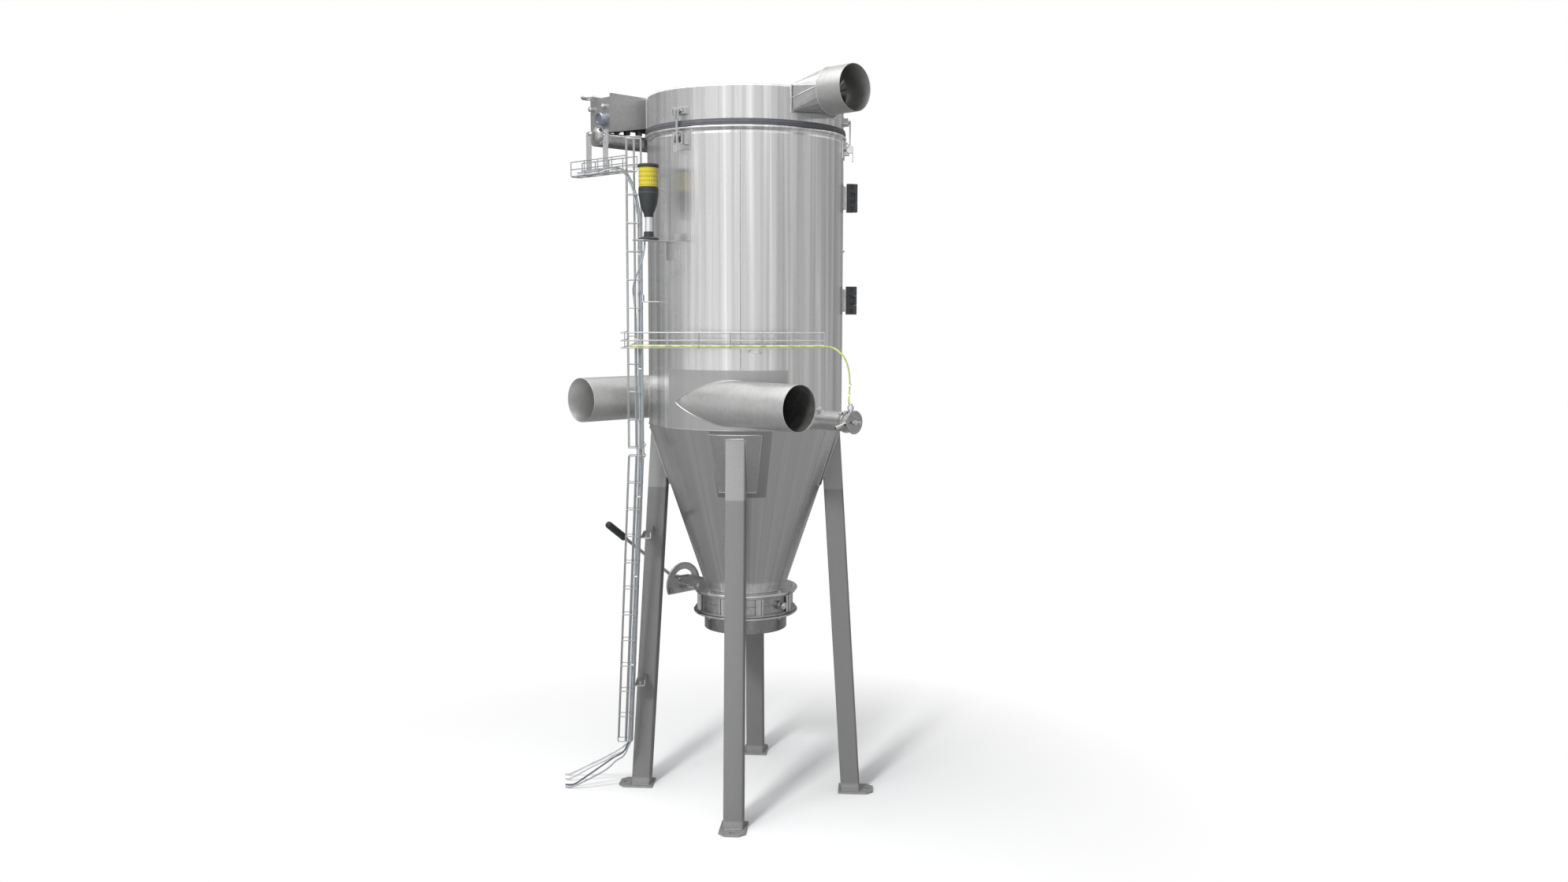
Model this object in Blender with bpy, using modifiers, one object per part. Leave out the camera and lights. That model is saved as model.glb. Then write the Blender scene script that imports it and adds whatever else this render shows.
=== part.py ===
"""Pulse-jet dust collector on four legs, built as separate named sub-parts.

Frame while modelling: metres, +Z up, floor at z = 0, vessel axis on the Z axis and the front leg towards -Y.
At the end the root empty is moved so that the middle of the footprint stands on the origin.
Bearings are degrees from -Y towards +X, so 0 is the front, 90 the right, 180 the back and -90 the left.
"""
import math

import bmesh
import bpy
from mathutils import Matrix, Vector

# ---------------------------------------------------------------- driving dimensions
SEGMENTS = 48                  # facets round the vessel
GAP = 0.0003                   # clearance between touching sub-parts
EPS = 0.02                     # how far a cutter runs past what it cuts

VESSEL_R = 0.360               # outer radius of filter body and head
VESSEL_WALL = 0.003
BODY_BOTTOM_Z = 1.412
BODY_TOP_Z = 2.460
ROLLED_RING_R = VESSEL_R + 0.010   # rolled ring round the body's open top
ROLLED_RING_H = 0.012
GASKET_H = 0.019
GASKET_R = VESSEL_R + 0.008
HEAD_H = 0.119

CONE_BOTTOM_R = 0.150
CONE_H = 0.6215
FLANGE_R = 0.196               # discharge valve flanges
FLANGE_T = 0.008
VALVE_H = 0.0755               # height between the two flanges
VALVE_R = 0.188
VALVE_BORE_R = 0.150
SPIGOT_R = 0.1556
SPIGOT_WALL = 0.0025
SPIGOT_H = 0.060
DISC_R = VALVE_BORE_R - 0.0015
DISC_T = 0.008
SHAFT_R = 0.0125
SHAFT_FRONT = 0.206            # ends of the valve shaft, measured from the vessel axis
SHAFT_BACK = 0.392
HANDLE_PLANE = 0.380           # distance of the hand lever's plane from the vessel axis
HANDLE_L = 0.457
HANDLE_RISE = 37.7             # degrees above the horizontal at rest
LEVER_BAR_R = 0.006
GRIP_L = 0.105
QUADRANT_R = 0.085

LEG_SIZE = 0.070
LEG_WALL = 0.003
LEG_FOOT_R = VESSEL_R + 0.0448     # leg centre line at the floor
LEG_SPLAY = math.radians(3.57)
LEG_TOP_Z = BODY_BOTTOM_Z - 0.030
PAD_T = 0.003                  # doubler plate between leg and cone
PAD_TOP_W = 0.186
PAD_BOTTOM_W = 0.134
PAD_TOP_Z = BODY_BOTTOM_Z - 0.016
PAD_BOTTOM_Z = BODY_BOTTOM_Z - 0.227
FOOT_T = 0.008
FOOT_W = 0.096
FOOT_INNER = LEG_FOOT_R - 0.0468
FOOT_OUTER = LEG_FOOT_R + 0.0852
FOOT_HOLE_R = 0.009
FOOT_HOLE_AT = LEG_FOOT_R + 0.0612

PORT_BEARING = 49.5            # outlet, sensor and front inlet point this way
DUCT_R = 0.080
DUCT_WALL = 0.002
INLET_Z = BODY_BOTTOM_Z + DUCT_R + 0.015
INLET_OFFSET = VESSEL_R - DUCT_R - 0.0005   # axis beside the vessel axis: the duct enters tangentially
INLET_REACH = VESSEL_R + 0.1916
OUTLET_Z = BODY_TOP_Z + 0.1207
OUTLET_REACH = VESSEL_R + 0.1763
OUTLET_TUBE_START = VESSEL_R + 0.070
OUTLET_BASE_AT = VESSEL_R - 0.030
OUTLET_BASE_W = 0.224
OUTLET_BASE_LOW = BODY_TOP_Z + 0.047
OUTLET_BASE_HIGH = BODY_TOP_Z + 0.1365

SENSOR_Z = BODY_BOTTOM_Z + 0.033
SENSOR_R = 0.0345
SENSOR_REACH = VESSEL_R + 0.189
SENSOR_COVER_R = 0.041

CLAMP_BEARINGS = (-32.0, 88.0, 208.0)
CLAMP_PIVOT_R = VESSEL_R + 0.016   # lever pivot, distance from the vessel axis
CLAMP_PIVOT_Z = BODY_TOP_Z - 0.032
CLAMP_THROW = 0.016            # lever pivot to hook pivot
CLAMP_PIN_R = 0.0025
KEEPER_Z = BODY_TOP_Z + 0.045

DOOR_FROM, DOOR_TO = 100.0, 152.0
DOOR_LOW = BODY_BOTTOM_Z + 0.256
DOOR_HIGH = BODY_TOP_Z - 0.083
DOOR_T = 0.004
DOOR_MID_Z = (DOOR_LOW + DOOR_HIGH) / 2
HANDLE_INSET = 6.0             # degrees from the door's free edge to its handle
DOOR_RIM = 3.0                 # degrees that the door laps over each side of its opening
DOOR_LAP = 0.030               # the same above and below
HINGE_BEARING = 97.0
HINGE_PIN_AT = VESSEL_R + 0.0475
HINGE_H = 0.104
HINGE_PIN_R = 0.003
ANGLE_H = HINGE_H * 0.8        # height of the angles that carry the hinges
HINGE_LEVELS = (("upper", DOOR_HIGH - 0.132), ("lower", DOOR_LOW + 0.200))

BEACON_BEARING = -40.0
BEACON_AT = VESSEL_R + 0.105
BEACON_PLATE_Z = BODY_TOP_Z - 0.390
BEACON_TUBE_R = 0.0125
BEACON_R = 0.0345

UNIT_BEARING = -40.5           # cleaning unit points this way
UNIT_NEAR = VESSEL_R - 0.135   # its two sides, measured beside the vessel axis
UNIT_FAR = UNIT_NEAR + 0.115
UNIT_END = VESSEL_R + 0.089
UNIT_WALL = 0.0025
UNIT_TOP_Z = BODY_TOP_Z + 0.136
UNIT_LOW_IN = BODY_TOP_Z + 0.0275
UNIT_LOW_OUT = BODY_TOP_Z - 0.001
TANK_LOW_Z = BODY_TOP_Z - 0.042
TANK_HIGH_Z = BODY_TOP_Z - 0.0035
BLOW_PIPE_Z = BODY_TOP_Z + 0.075
BLOW_PIPE_R = 0.014
COUPLING_AT = (UNIT_NEAR + 0.033, BODY_TOP_Z + 0.046)    # beside the vessel axis, height
COUPLING_R = 0.0225

TRAY_W = 0.050
TRAY_H = 0.054
TRAY_WIRE = 0.004
TRAY_PITCH = 0.100
TRAY_BEARING = 6.0             # the middle tray is tangential at this bearing

CABLE_R = 0.003
BUNDLE_R = 0.0075
SENSOR_CABLES_R = 0.0055

# ---------------------------------------------------------------- derived places
SEAM_Z = BODY_BOTTOM_Z - GAP
CONE_BOTTOM_Z = SEAM_Z - CONE_H
CONE_SLOPE = (VESSEL_R - CONE_BOTTOM_R) / CONE_H
TOP_FLANGE_Z = CONE_BOTTOM_Z - GAP                 # upper face of the cone flange
VALVE_TOP_Z = TOP_FLANGE_Z - FLANGE_T - GAP
SHAFT_Z = VALVE_TOP_Z - VALVE_H / 2
VALVE_BOTTOM_Z = VALVE_TOP_Z - VALVE_H
SPIGOT_TOP_Z = VALVE_BOTTOM_Z - GAP
GASKET_Z = BODY_TOP_Z + GAP
HEAD_Z = GASKET_Z + GASKET_H + GAP
HEAD_TOP_Z = HEAD_Z + HEAD_H
INSIDE_R = VESSEL_R - VESSEL_WALL


def cone_radius(z):
    """Outer radius of the hopper cone at height z."""
    return VESSEL_R - (SEAM_Z - z) * CONE_SLOPE


def bearing(degrees):
    """Unit vector from the vessel axis towards a bearing."""
    angle = math.radians(degrees)
    return Vector((math.sin(angle), -math.cos(angle), 0.0))


def frame(degrees, radius=0.0, z=0.0, side=0.0):
    """Matrix with X pointing outwards along a bearing, Y towards growing bearings and Z up."""
    spot = bearing(degrees) * radius + bearing(degrees + 90) * side + Vector((0, 0, z))
    return Matrix.Translation(spot) @ Matrix.Rotation(math.radians(degrees - 90), 4, "Z")


# ---------------------------------------------------------------- scene, materials and helpers
def clear_scene():
    for old in list(bpy.data.objects):
        bpy.data.objects.remove(old, do_unlink=True)


clear_scene()
parts = bpy.data.collections.new("dust_collector")
cutters = bpy.data.collections.new("cutters")
bpy.context.scene.collection.children.link(parts)
bpy.context.scene.collection.children.link(cutters)
root = bpy.data.objects.new("dust_collector_root", None)
parts.objects.link(root)

FINISHES = {                   # colour, roughness, metallic
    "brushed_steel": ((0.62, 0.62, 0.61), 0.32, 1.0),
    "duct_steel": ((0.60, 0.60, 0.58), 0.50, 1.0),
    "leg_steel": ((0.30, 0.30, 0.30), 0.60, 0.6),
    "zinc_wire": ((0.80, 0.81, 0.82), 0.30, 1.0),
    "black_plastic": ((0.03, 0.03, 0.035), 0.45, 0.0),
    "gasket_rubber": ((0.08, 0.09, 0.11), 0.70, 0.0),
    "amber_lens": ((0.85, 0.60, 0.02), 0.15, 0.0),
    "aluminium": ((0.82, 0.82, 0.82), 0.35, 1.0),
    "filter_fleece": ((0.85, 0.84, 0.80), 0.90, 0.0),
    "grey_cable": ((0.36, 0.41, 0.45), 0.55, 0.0),
    "earth_cable": ((0.55, 0.62, 0.18), 0.55, 0.0),
}


def material(name, finish):
    made = bpy.data.materials.new(name)
    made.use_nodes = True
    colour, roughness, metallic = FINISHES[finish]
    shader = made.node_tree.nodes["Principled BSDF"]
    shader.inputs["Base Color"].default_value = (*colour, 1.0)
    shader.inputs["Roughness"].default_value = roughness
    shader.inputs["Metallic"].default_value = metallic
    return made


def place(mesh, name, finish=None, matrix=None, parent=None):
    """Link a mesh or curve as a sub-part, or as a cutter when it has no finish."""
    item = bpy.data.objects.new(name, mesh)
    if finish:
        parts.objects.link(item)
        mesh.materials.append(material(name, finish))
        item.parent = parent or root
    else:
        cutters.objects.link(item)
        item.display_type = "WIRE"
        item.hide_render = True
        item.parent = root
    if matrix is not None:
        item.matrix_basis = world_of(item.parent).inverted() @ matrix
    return item


def world_of(empty):
    """Place of an empty while the root still stands on the vessel axis."""
    chain = Matrix()
    while empty is not None:
        chain = empty.matrix_basis @ chain
        empty = empty.parent
    return chain


def pivot(name, matrix, parent=None):
    """Empty on a joint's axis that carries the sub-parts which move about it."""
    empty = bpy.data.objects.new(name, None)
    parts.objects.link(empty)
    empty.parent = parent or root
    empty.matrix_basis = world_of(empty.parent).inverted() @ matrix
    return empty


def mesh_of(builder, name):
    """Mesh made by a function that fills a bmesh."""
    bm = bmesh.new()
    builder(bm)
    bmesh.ops.recalc_face_normals(bm, faces=bm.faces)
    mesh = bpy.data.meshes.new(name)
    bm.to_mesh(mesh)
    bm.free()
    return mesh


def block(name, size, centre=(0, 0, 0), finish=None, matrix=None, parent=None):
    """Box of a given size round a centre point of its own frame."""
    def build(bm):
        shape = Matrix.Translation(centre) @ Matrix.Diagonal((*size, 1))
        bmesh.ops.create_cube(bm, size=1, matrix=shape)
    return place(mesh_of(build, name), name, finish, matrix, parent)


def rod(name, radius, start, end, finish=None, matrix=None, parent=None, sides=16, end_radius=None):
    """Cylinder or cone between two points of its own frame."""
    start, end = Vector(start), Vector(end)
    turn = (end - start).to_track_quat("Z", "Y").to_matrix().to_4x4()
    middle = Matrix.Translation((start + end) / 2) @ turn
    tip = radius if end_radius is None else end_radius

    def build(bm):
        bmesh.ops.create_cone(bm, cap_ends=True, segments=sides, radius1=radius, radius2=tip,
                              depth=(end - start).length, matrix=middle)
    return place(mesh_of(build, name), name, finish, matrix, parent)


def turned(name, profile, finish=None, matrix=None, parent=None, steps=SEGMENTS):
    """Ring turned about Z from a closed (radius, height) profile that runs down its outer side."""
    return spun(name, profile, len(profile), finish, matrix, parent, steps)


def spun(name, profile, edges, finish, matrix, parent, steps):
    """The profile's first edges, the last of which may close it, turned about Z."""
    mesh = bpy.data.meshes.new(name)
    joined = [(i, (i + 1) % len(profile)) for i in range(edges)]
    mesh.from_pydata([(radius, 0, z) for radius, z in profile], joined, [])
    item = place(mesh, name, finish, matrix, parent)
    screw = item.modifiers.new("turn", "SCREW")
    screw.steps = screw.render_steps = steps
    screw.use_merge_vertices = True
    screw.merge_threshold = 0.00005
    return item


def ring(name, inner, outer, low, high, finish=None, matrix=None, parent=None, steps=SEGMENTS):
    profile = ((outer, high), (outer, low), (inner, low), (inner, high))
    return turned(name, profile, finish, matrix, parent, steps)


def solid_turned(name, profile, finish=None, matrix=None, parent=None, steps=SEGMENTS):
    """Solid turned about Z: the profile starts and ends on the axis and runs down its outer side."""
    return spun(name, profile, len(profile) - 1, finish, matrix, parent, steps)


def as_mesh(curve_object):
    """Replace a curve object by a mesh with welded caps, ready for Booleans."""
    bpy.context.view_layer.update()
    ready = curve_object.evaluated_get(bpy.context.evaluated_depsgraph_get())
    mesh = bpy.data.meshes.new_from_object(ready)
    bm = bmesh.new()
    bm.from_mesh(mesh)
    bmesh.ops.remove_doubles(bm, verts=bm.verts, dist=0.00001)
    bmesh.ops.recalc_face_normals(bm, faces=bm.faces)
    bm.to_mesh(mesh)
    bm.free()
    name, home = curve_object.name, curve_object.users_collection[0]
    curve_object.name = name + "_outline"
    item = bpy.data.objects.new(name, mesh)
    home.objects.link(item)
    item.parent = curve_object.parent
    item.matrix_basis = curve_object.matrix_basis.copy()
    item.display_type = curve_object.display_type
    item.hide_render = curve_object.hide_render
    bpy.data.objects.remove(curve_object, do_unlink=True)
    return item


def plate(name, outline, thickness, finish=None, matrix=None, parent=None):
    """Flat outline in the frame's XY plane, thickened evenly about that plane."""
    curve = bpy.data.curves.new(name, "CURVE")
    curve.dimensions = "2D"
    curve.fill_mode = "BOTH"
    curve.extrude = thickness / 2
    spline = curve.splines.new("POLY")
    spline.points.add(len(outline) - 1)
    for point, (x, y) in zip(spline.points, outline):
        point.co = (x, y, 0, 1)
    spline.use_cyclic_u = True
    return as_mesh(place(curve, name, finish, matrix, parent))


def tube(name, points, radius, finish=None, matrix=None, parent=None, resolution=2):
    """Round bar along a list of points."""
    curve = bpy.data.curves.new(name, "CURVE")
    curve.dimensions = "3D"
    curve.bevel_depth = radius
    curve.bevel_resolution = resolution
    curve.use_fill_caps = True
    spline = curve.splines.new("POLY")
    spline.points.add(len(points) - 1)
    for point, spot in zip(spline.points, points):
        point.co = (*spot, 1)
    return place(curve, name, finish, matrix, parent)


def smooth(points, count):
    """Points evenly spread in parameter on a Catmull-Rom curve through the route's own points."""
    spots = [Vector(point) for point in points]
    spots = [spots[0] * 2 - spots[1]] + spots + [spots[-1] * 2 - spots[-2]]
    spans = len(spots) - 3
    made = []
    for step in range(count):
        along = step / (count - 1) * spans
        span = min(int(along), spans - 1)
        u = along - span
        a, b, c, d = spots[span:span + 4]
        made.append(0.5 * (2 * b + (c - a) * u + (2 * a - 5 * b + 4 * c - d) * u * u
                           + (3 * b - a - 3 * c + d) * u ** 3))
    return made


def boolean(item, other, operation):
    made = item.modifiers.new(operation.lower() + "_" + other.name, "BOOLEAN")
    made.operation = operation
    made.object = other
    made.solver = "EXACT"


def cut(item, *others):
    for other in others:
        boolean(item, other, "DIFFERENCE")


def join(item, *others):
    for other in others:
        boolean(item, other, "UNION")


def wedge(name, start, end, low, high, reach=2 * VESSEL_R):
    """Cutter covering a range of bearings and heights."""
    spots = [bearing(start + (end - start) * i / 4) * reach for i in range(5)]
    outline = [(0, 0)] + [(spot.x, spot.y) for spot in spots]
    return plate(name, outline, high - low, matrix=Matrix.Translation((0, 0, (low + high) / 2)))


def vessel_core(name, radius, low, high):
    """Solid cutter that fills the vessel, with the vessel's own facets."""
    return solid_turned(name, ((0, high), (radius, high), (radius, low), (0, low)))


ALONG_X = Matrix.Rotation(math.radians(90), 4, "Y")        # turns Z to X
CORE = vessel_core("vessel_clearance", VESSEL_R + GAP, BODY_BOTTOM_Z - 0.3, HEAD_TOP_Z + 0.3)
UPRIGHT = Matrix.Rotation(math.radians(90), 4, "Z") @ Matrix.Rotation(math.radians(90), 4, "X")


# ---------------------------------------------------------------- filter body
def duct_bore(name, degrees):
    """Cutter for the hole that an inlet duct opens in the wall."""
    place_at = frame(degrees, z=INLET_Z, side=-INLET_OFFSET)
    return rod(name, DUCT_R - DUCT_WALL, (0.09, 0, 0), (VESSEL_R + 0.04, 0, 0), matrix=place_at, sides=32)


def clamp_base(degrees, tag):
    """Weld-on plate with two ears and the lever pivot pin."""
    spot = frame(degrees, z=CLAMP_PIVOT_Z)
    sheet = block(f"clamp_plate_{tag}", (0.0045, 0.080, 0.066), (VESSEL_R + 0.00025, 0, -0.015),
                  matrix=spot)
    ears = [block(f"clamp_ear_{tag}_{side}", (0.022, 0.003, 0.030), (VESSEL_R + 0.011, side * 0.0101, 0),
                  matrix=spot) for side in (-1, 1)]
    pin = rod(f"clamp_pin_{tag}", CLAMP_PIN_R, (CLAMP_PIVOT_R, -0.011, 0), (CLAMP_PIVOT_R, 0.011, 0),
              matrix=spot, sides=10)
    return [sheet, *ears, pin]


def hinge_flange(tag, level):
    """Angle on the body that carries a door hinge: a foot on the wall and a radial flange."""
    spot = frame(HINGE_BEARING, z=level)
    foot = block(f"hinge_foot_{tag}", (0.006, 0.062, ANGLE_H), (VESSEL_R + 0.0005, -0.0332, 0), matrix=spot)
    flange = block(f"hinge_flange_{tag}", (0.039, 0.004, ANGLE_H), (VESSEL_R + 0.018, -0.0042, 0), matrix=spot)
    return [foot, flange]


def filter_body():
    body = turned("filter_body", (
        (VESSEL_R, BODY_TOP_Z - ROLLED_RING_H - 0.004), (VESSEL_R, BODY_BOTTOM_Z),
        (INSIDE_R, BODY_BOTTOM_Z), (INSIDE_R, BODY_TOP_Z), (ROLLED_RING_R, BODY_TOP_Z),
        (ROLLED_RING_R, BODY_TOP_Z - ROLLED_RING_H)), "brushed_steel")
    cut(body, duct_bore("front_inlet_bore", PORT_BEARING), duct_bore("left_inlet_bore", PORT_BEARING - 90))
    cut(body, wedge("door_opening", DOOR_FROM + DOOR_RIM, DOOR_TO - DOOR_RIM, DOOR_LOW + DOOR_LAP,
                    DOOR_HIGH - DOOR_LAP))
    for tag, degrees in zip("abc", CLAMP_BEARINGS):
        join(body, *clamp_base(degrees, tag))
    for tag, level in HINGE_LEVELS:
        join(body, *hinge_flange(tag, level))


# ---------------------------------------------------------------- hopper, discharge valve and lever
def hopper():
    drop = VESSEL_WALL * math.sqrt(1 + CONE_SLOPE ** 2)
    turned("hopper_cone", ((VESSEL_R, SEAM_Z), (CONE_BOTTOM_R, CONE_BOTTOM_Z),
                           (CONE_BOTTOM_R - drop, CONE_BOTTOM_Z), (VESSEL_R - drop, SEAM_Z)), "brushed_steel")
    ring("cone_flange", VALVE_BORE_R, FLANGE_R, TOP_FLANGE_Z - FLANGE_T, TOP_FLANGE_Z, "brushed_steel")


def shaft_frame():
    """Frame at the valve centre with X along the shaft towards the hand lever."""
    return frame(PORT_BEARING + 180, z=SHAFT_Z)


def valve_half(name, low, high):
    half = ring(name, VALVE_BORE_R, VALVE_R, low, high, "duct_steel")
    for index in range(8):
        lug = block(f"{name}_lug_{index}", (0.014, 0.020, high - low), (VALVE_R, 0, (low + high) / 2),
                    matrix=frame(22.5 + index * 45))
        join(half, lug)
    bore = rod(name + "_shaft_bore", SHAFT_R + GAP, (-0.25, 0, 0), (0.25, 0, 0), matrix=shaft_frame())
    cut(half, bore)


def discharge_valve():
    valve_half("valve_upper_half", SHAFT_Z + GAP / 2, VALVE_TOP_Z)
    valve_half("valve_lower_half", VALVE_BOTTOM_Z, SHAFT_Z - GAP / 2)
    flange_low = SPIGOT_TOP_Z - FLANGE_T
    spigot_bore = SPIGOT_R - SPIGOT_WALL
    end = flange_low - SPIGOT_H
    turned("discharge_spigot", (
        (FLANGE_R, SPIGOT_TOP_Z), (FLANGE_R, flange_low), (SPIGOT_R, flange_low), (SPIGOT_R, end),
        (spigot_bore, end), (spigot_bore, SPIGOT_TOP_Z)), "brushed_steel")


def valve_moving(pivot):
    disc = solid_turned("valve_disc", ((0, DISC_T / 2), (DISC_R, DISC_T / 2), (DISC_R, -DISC_T / 2),
                                       (0, -DISC_T / 2)), "duct_steel", shaft_frame(), pivot, steps=48)
    hub = rod("valve_disc_hub", SHAFT_R + 0.006, (-0.12, 0, 0), (0.12, 0, 0), matrix=shaft_frame())
    hole = rod("valve_disc_hole", SHAFT_R + GAP, (-0.3, 0, 0), (0.3, 0, 0), matrix=shaft_frame())
    join(disc, hub)
    cut(disc, hole)
    rod("valve_shaft", SHAFT_R, (-SHAFT_FRONT, 0, 0), (SHAFT_BACK, 0, 0), "brushed_steel", shaft_frame(), pivot)


def hand_lever(pivot):
    """Hub clamped on the shaft end, flat bar and round grip."""
    rise = Matrix.Rotation(math.radians(HANDLE_RISE), 4, "X")
    spot = shaft_frame() @ Matrix.Translation((HANDLE_PLANE, 0, 0)) @ rise
    bar_end = HANDLE_L - 0.008
    lever = rod("valve_lever", 0.024, (-0.009, 0, 0), (0.009, 0, 0), "brushed_steel", spot, pivot)
    bar = rod("valve_lever_bar", LEVER_BAR_R, (0, 0.012, 0), (0, bar_end, 0), matrix=spot, sides=10)
    hole = rod("valve_lever_hole", SHAFT_R + GAP, (-0.05, 0, 0), (0.05, 0, 0), matrix=spot)
    join(lever, bar)
    cut(lever, hole)
    grip = rod("lever_grip", 0.014, (0, HANDLE_L - GRIP_L, 0), (0, HANDLE_L, 0), "black_plastic", spot, pivot)
    socket = rod("lever_grip_socket", LEVER_BAR_R + GAP, (0, 0.1, 0), (0, bar_end + GAP, 0), matrix=spot,
                 sides=10)
    cut(grip, socket)


def lock_quadrant():
    """Windowed half disc that locks the lever, on an arm from the cone flange."""
    face = shaft_frame() @ Matrix.Translation((HANDLE_PLANE - 0.017, 0, 0)) @ UPRIGHT
    arc = [math.radians(-25 + 230 * i / 20) for i in range(21)]
    quadrant = plate("lock_quadrant", [(QUADRANT_R * math.cos(a), QUADRANT_R * math.sin(a)) for a in arc],
                     0.006, "duct_steel", face)
    span = [math.radians(35 + 110 * i / 10) for i in range(11)]
    window = plate("quadrant_window", [(0.058 * math.cos(a), 0.058 * math.sin(a)) for a in span]
                   + [(0.026 * math.cos(a), 0.026 * math.sin(a)) for a in reversed(span)], 0.03, matrix=face)
    boss = rod("quadrant_boss", 0.022, (0.340, 0, 0), (HANDLE_PLANE - 0.010, 0, 0), matrix=shaft_frame())
    arm = block("quadrant_arm", (0.175, 0.050, 0.007), (0.2775, 0, 0.0325), matrix=shaft_frame())
    rib = block("quadrant_rib", (0.150, 0.005, 0.030), (0.290, 0, 0.0145), matrix=shaft_frame())
    shaft_room = rod("quadrant_bore", SHAFT_R + GAP, (0.1, 0, 0), (0.5, 0, 0), matrix=shaft_frame())
    flange_room = vessel_core("quadrant_flange_room", FLANGE_R + GAP, VALVE_BOTTOM_Z, TOP_FLANGE_Z + EPS)
    join(quadrant, boss, arm, rib)
    cut(quadrant, window, shaft_room, flange_room)


# ---------------------------------------------------------------- legs and feet
def cone_solid(name, growth, low, high):
    """Solid cone parallel to the hopper, larger by a horizontal growth."""
    return solid_turned(name, ((0, high), (cone_radius(high) + growth, high),
                               (cone_radius(low) + growth, low), (0, low)))


def doubler(tag, degrees, under, over):
    """Trapezoid plate rolled to the cone, cut from a slice between two cones."""
    middle = (PAD_TOP_Z + PAD_BOTTOM_Z) / 2
    half = (PAD_TOP_Z - PAD_BOTTOM_Z) / 2
    wide, narrow = PAD_TOP_W / 2, PAD_BOTTOM_W / 2
    outline = ((-narrow, -half), (narrow, -half), (wide, half), (-wide, half))
    face = frame(degrees, VESSEL_R - 0.06, middle) @ UPRIGHT
    pad = plate("pad_" + tag, outline, 0.25, matrix=face)
    boolean(pad, over, "INTERSECT")
    cut(pad, under)
    return pad


def leg(tag, degrees, under, over):
    spot = frame(degrees, LEG_FOOT_R) @ Matrix.Rotation(-LEG_SPLAY, 4, "Y")
    level = frame(degrees, LEG_FOOT_R)
    length = LEG_TOP_Z + 0.218
    post = block("leg_" + tag, (LEG_SIZE, LEG_SIZE, length), (0, 0, length / 2 - 0.1), "leg_steel", spot)
    bore = LEG_SIZE - 2 * LEG_WALL
    hollow = block(f"leg_{tag}_bore", (bore, bore, length + 0.2), (0, 0, length / 2 - 0.1), matrix=spot)
    top = block(f"leg_{tag}_top", (0.3, 0.3, 0.5), (0, 0, LEG_TOP_Z + 0.25), matrix=level)
    bottom = block(f"leg_{tag}_bottom", (0.3, 0.3, 0.5), (0, 0, FOOT_T + GAP - 0.25), matrix=level)
    cut(post, hollow, top, bottom)
    join(post, doubler(tag, degrees, under, over))
    cut(post, under)


def foot(tag, degrees):
    length = FOOT_OUTER - FOOT_INNER
    half, clip = FOOT_W / 2, 0.022
    outline = ((-length / 2, -half), (length / 2 - clip, -half), (length / 2, clip - half),
               (length / 2, half - clip), (length / 2 - clip, half), (-length / 2, half))
    spot = frame(degrees, (FOOT_INNER + FOOT_OUTER) / 2, FOOT_T / 2)
    sole = plate("foot_" + tag, outline, FOOT_T, "leg_steel", spot)
    hole = rod(f"foot_{tag}_hole", FOOT_HOLE_R, (FOOT_HOLE_AT, 0, -0.02), (FOOT_HOLE_AT, 0, 0.04),
               matrix=frame(degrees), sides=16)
    cut(sole, hole)


def legs():
    under = cone_solid("cone_clearance", GAP, PAD_BOTTOM_Z - 0.15, SEAM_Z - 0.0001)
    over = cone_solid("pad_envelope", GAP + PAD_T, PAD_BOTTOM_Z - 0.15, SEAM_Z - 0.0001)
    for tag, degrees in (("front", 0), ("right", 90), ("back", 180), ("left", -90)):
        leg(tag, degrees, under, over)
        foot(tag, degrees)


# ---------------------------------------------------------------- ducts and head
def inlet(name, degrees):
    spot = frame(degrees, z=INLET_Z, side=-INLET_OFFSET) @ ALONG_X
    duct = ring(name, DUCT_R - DUCT_WALL, DUCT_R, 0.045, INLET_REACH, "duct_steel", spot, steps=40)
    cut(duct, CORE)


def head_gasket():
    ring("head_gasket", INSIDE_R, GASKET_R, GASKET_Z, GASKET_Z + GASKET_H, "gasket_rubber")


def keeper(degrees, tag):
    """Bracket on the head whose lip holds a clamp hook."""
    spot = frame(degrees, z=KEEPER_Z)
    back = block(f"keeper_back_{tag}", (0.006, 0.067, 0.026), (VESSEL_R + 0.0008, 0, 0.008), matrix=spot)
    lip = block(f"keeper_lip_{tag}", (0.020, 0.064, 0.004), (VESSEL_R + 0.0095, 0, -0.002), matrix=spot)
    return [back, lip]


def head_shell():
    top = HEAD_TOP_Z
    head = solid_turned("head_shell", (
        (0, top), (VESSEL_R, top), (VESSEL_R, HEAD_Z), (INSIDE_R, HEAD_Z),
        (INSIDE_R, top - VESSEL_WALL), (0, top - VESSEL_WALL)), "brushed_steel")
    middle = (OUTLET_BASE_LOW + OUTLET_BASE_HIGH) / 2
    rim = 0.004
    window = block("outlet_window", (
        0.2, OUTLET_BASE_W - 2 * rim, OUTLET_BASE_HIGH - OUTLET_BASE_LOW - 2 * rim),
        (VESSEL_R - 0.01, 0, middle - 0.001), matrix=frame(PORT_BEARING))
    pipe_hole = rod("blow_pipe_hole", BLOW_PIPE_R + 0.0005, (0.1, 0, 0), (VESSEL_R + 0.04, 0, 0),
                    matrix=frame(UNIT_BEARING, z=BLOW_PIPE_Z, side=-(UNIT_NEAR + UNIT_FAR) / 2), sides=16)
    cut(head, window, pipe_hole)
    for tag, degrees in zip("abc", CLAMP_BEARINGS):
        join(head, *keeper(degrees, tag))


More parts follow.
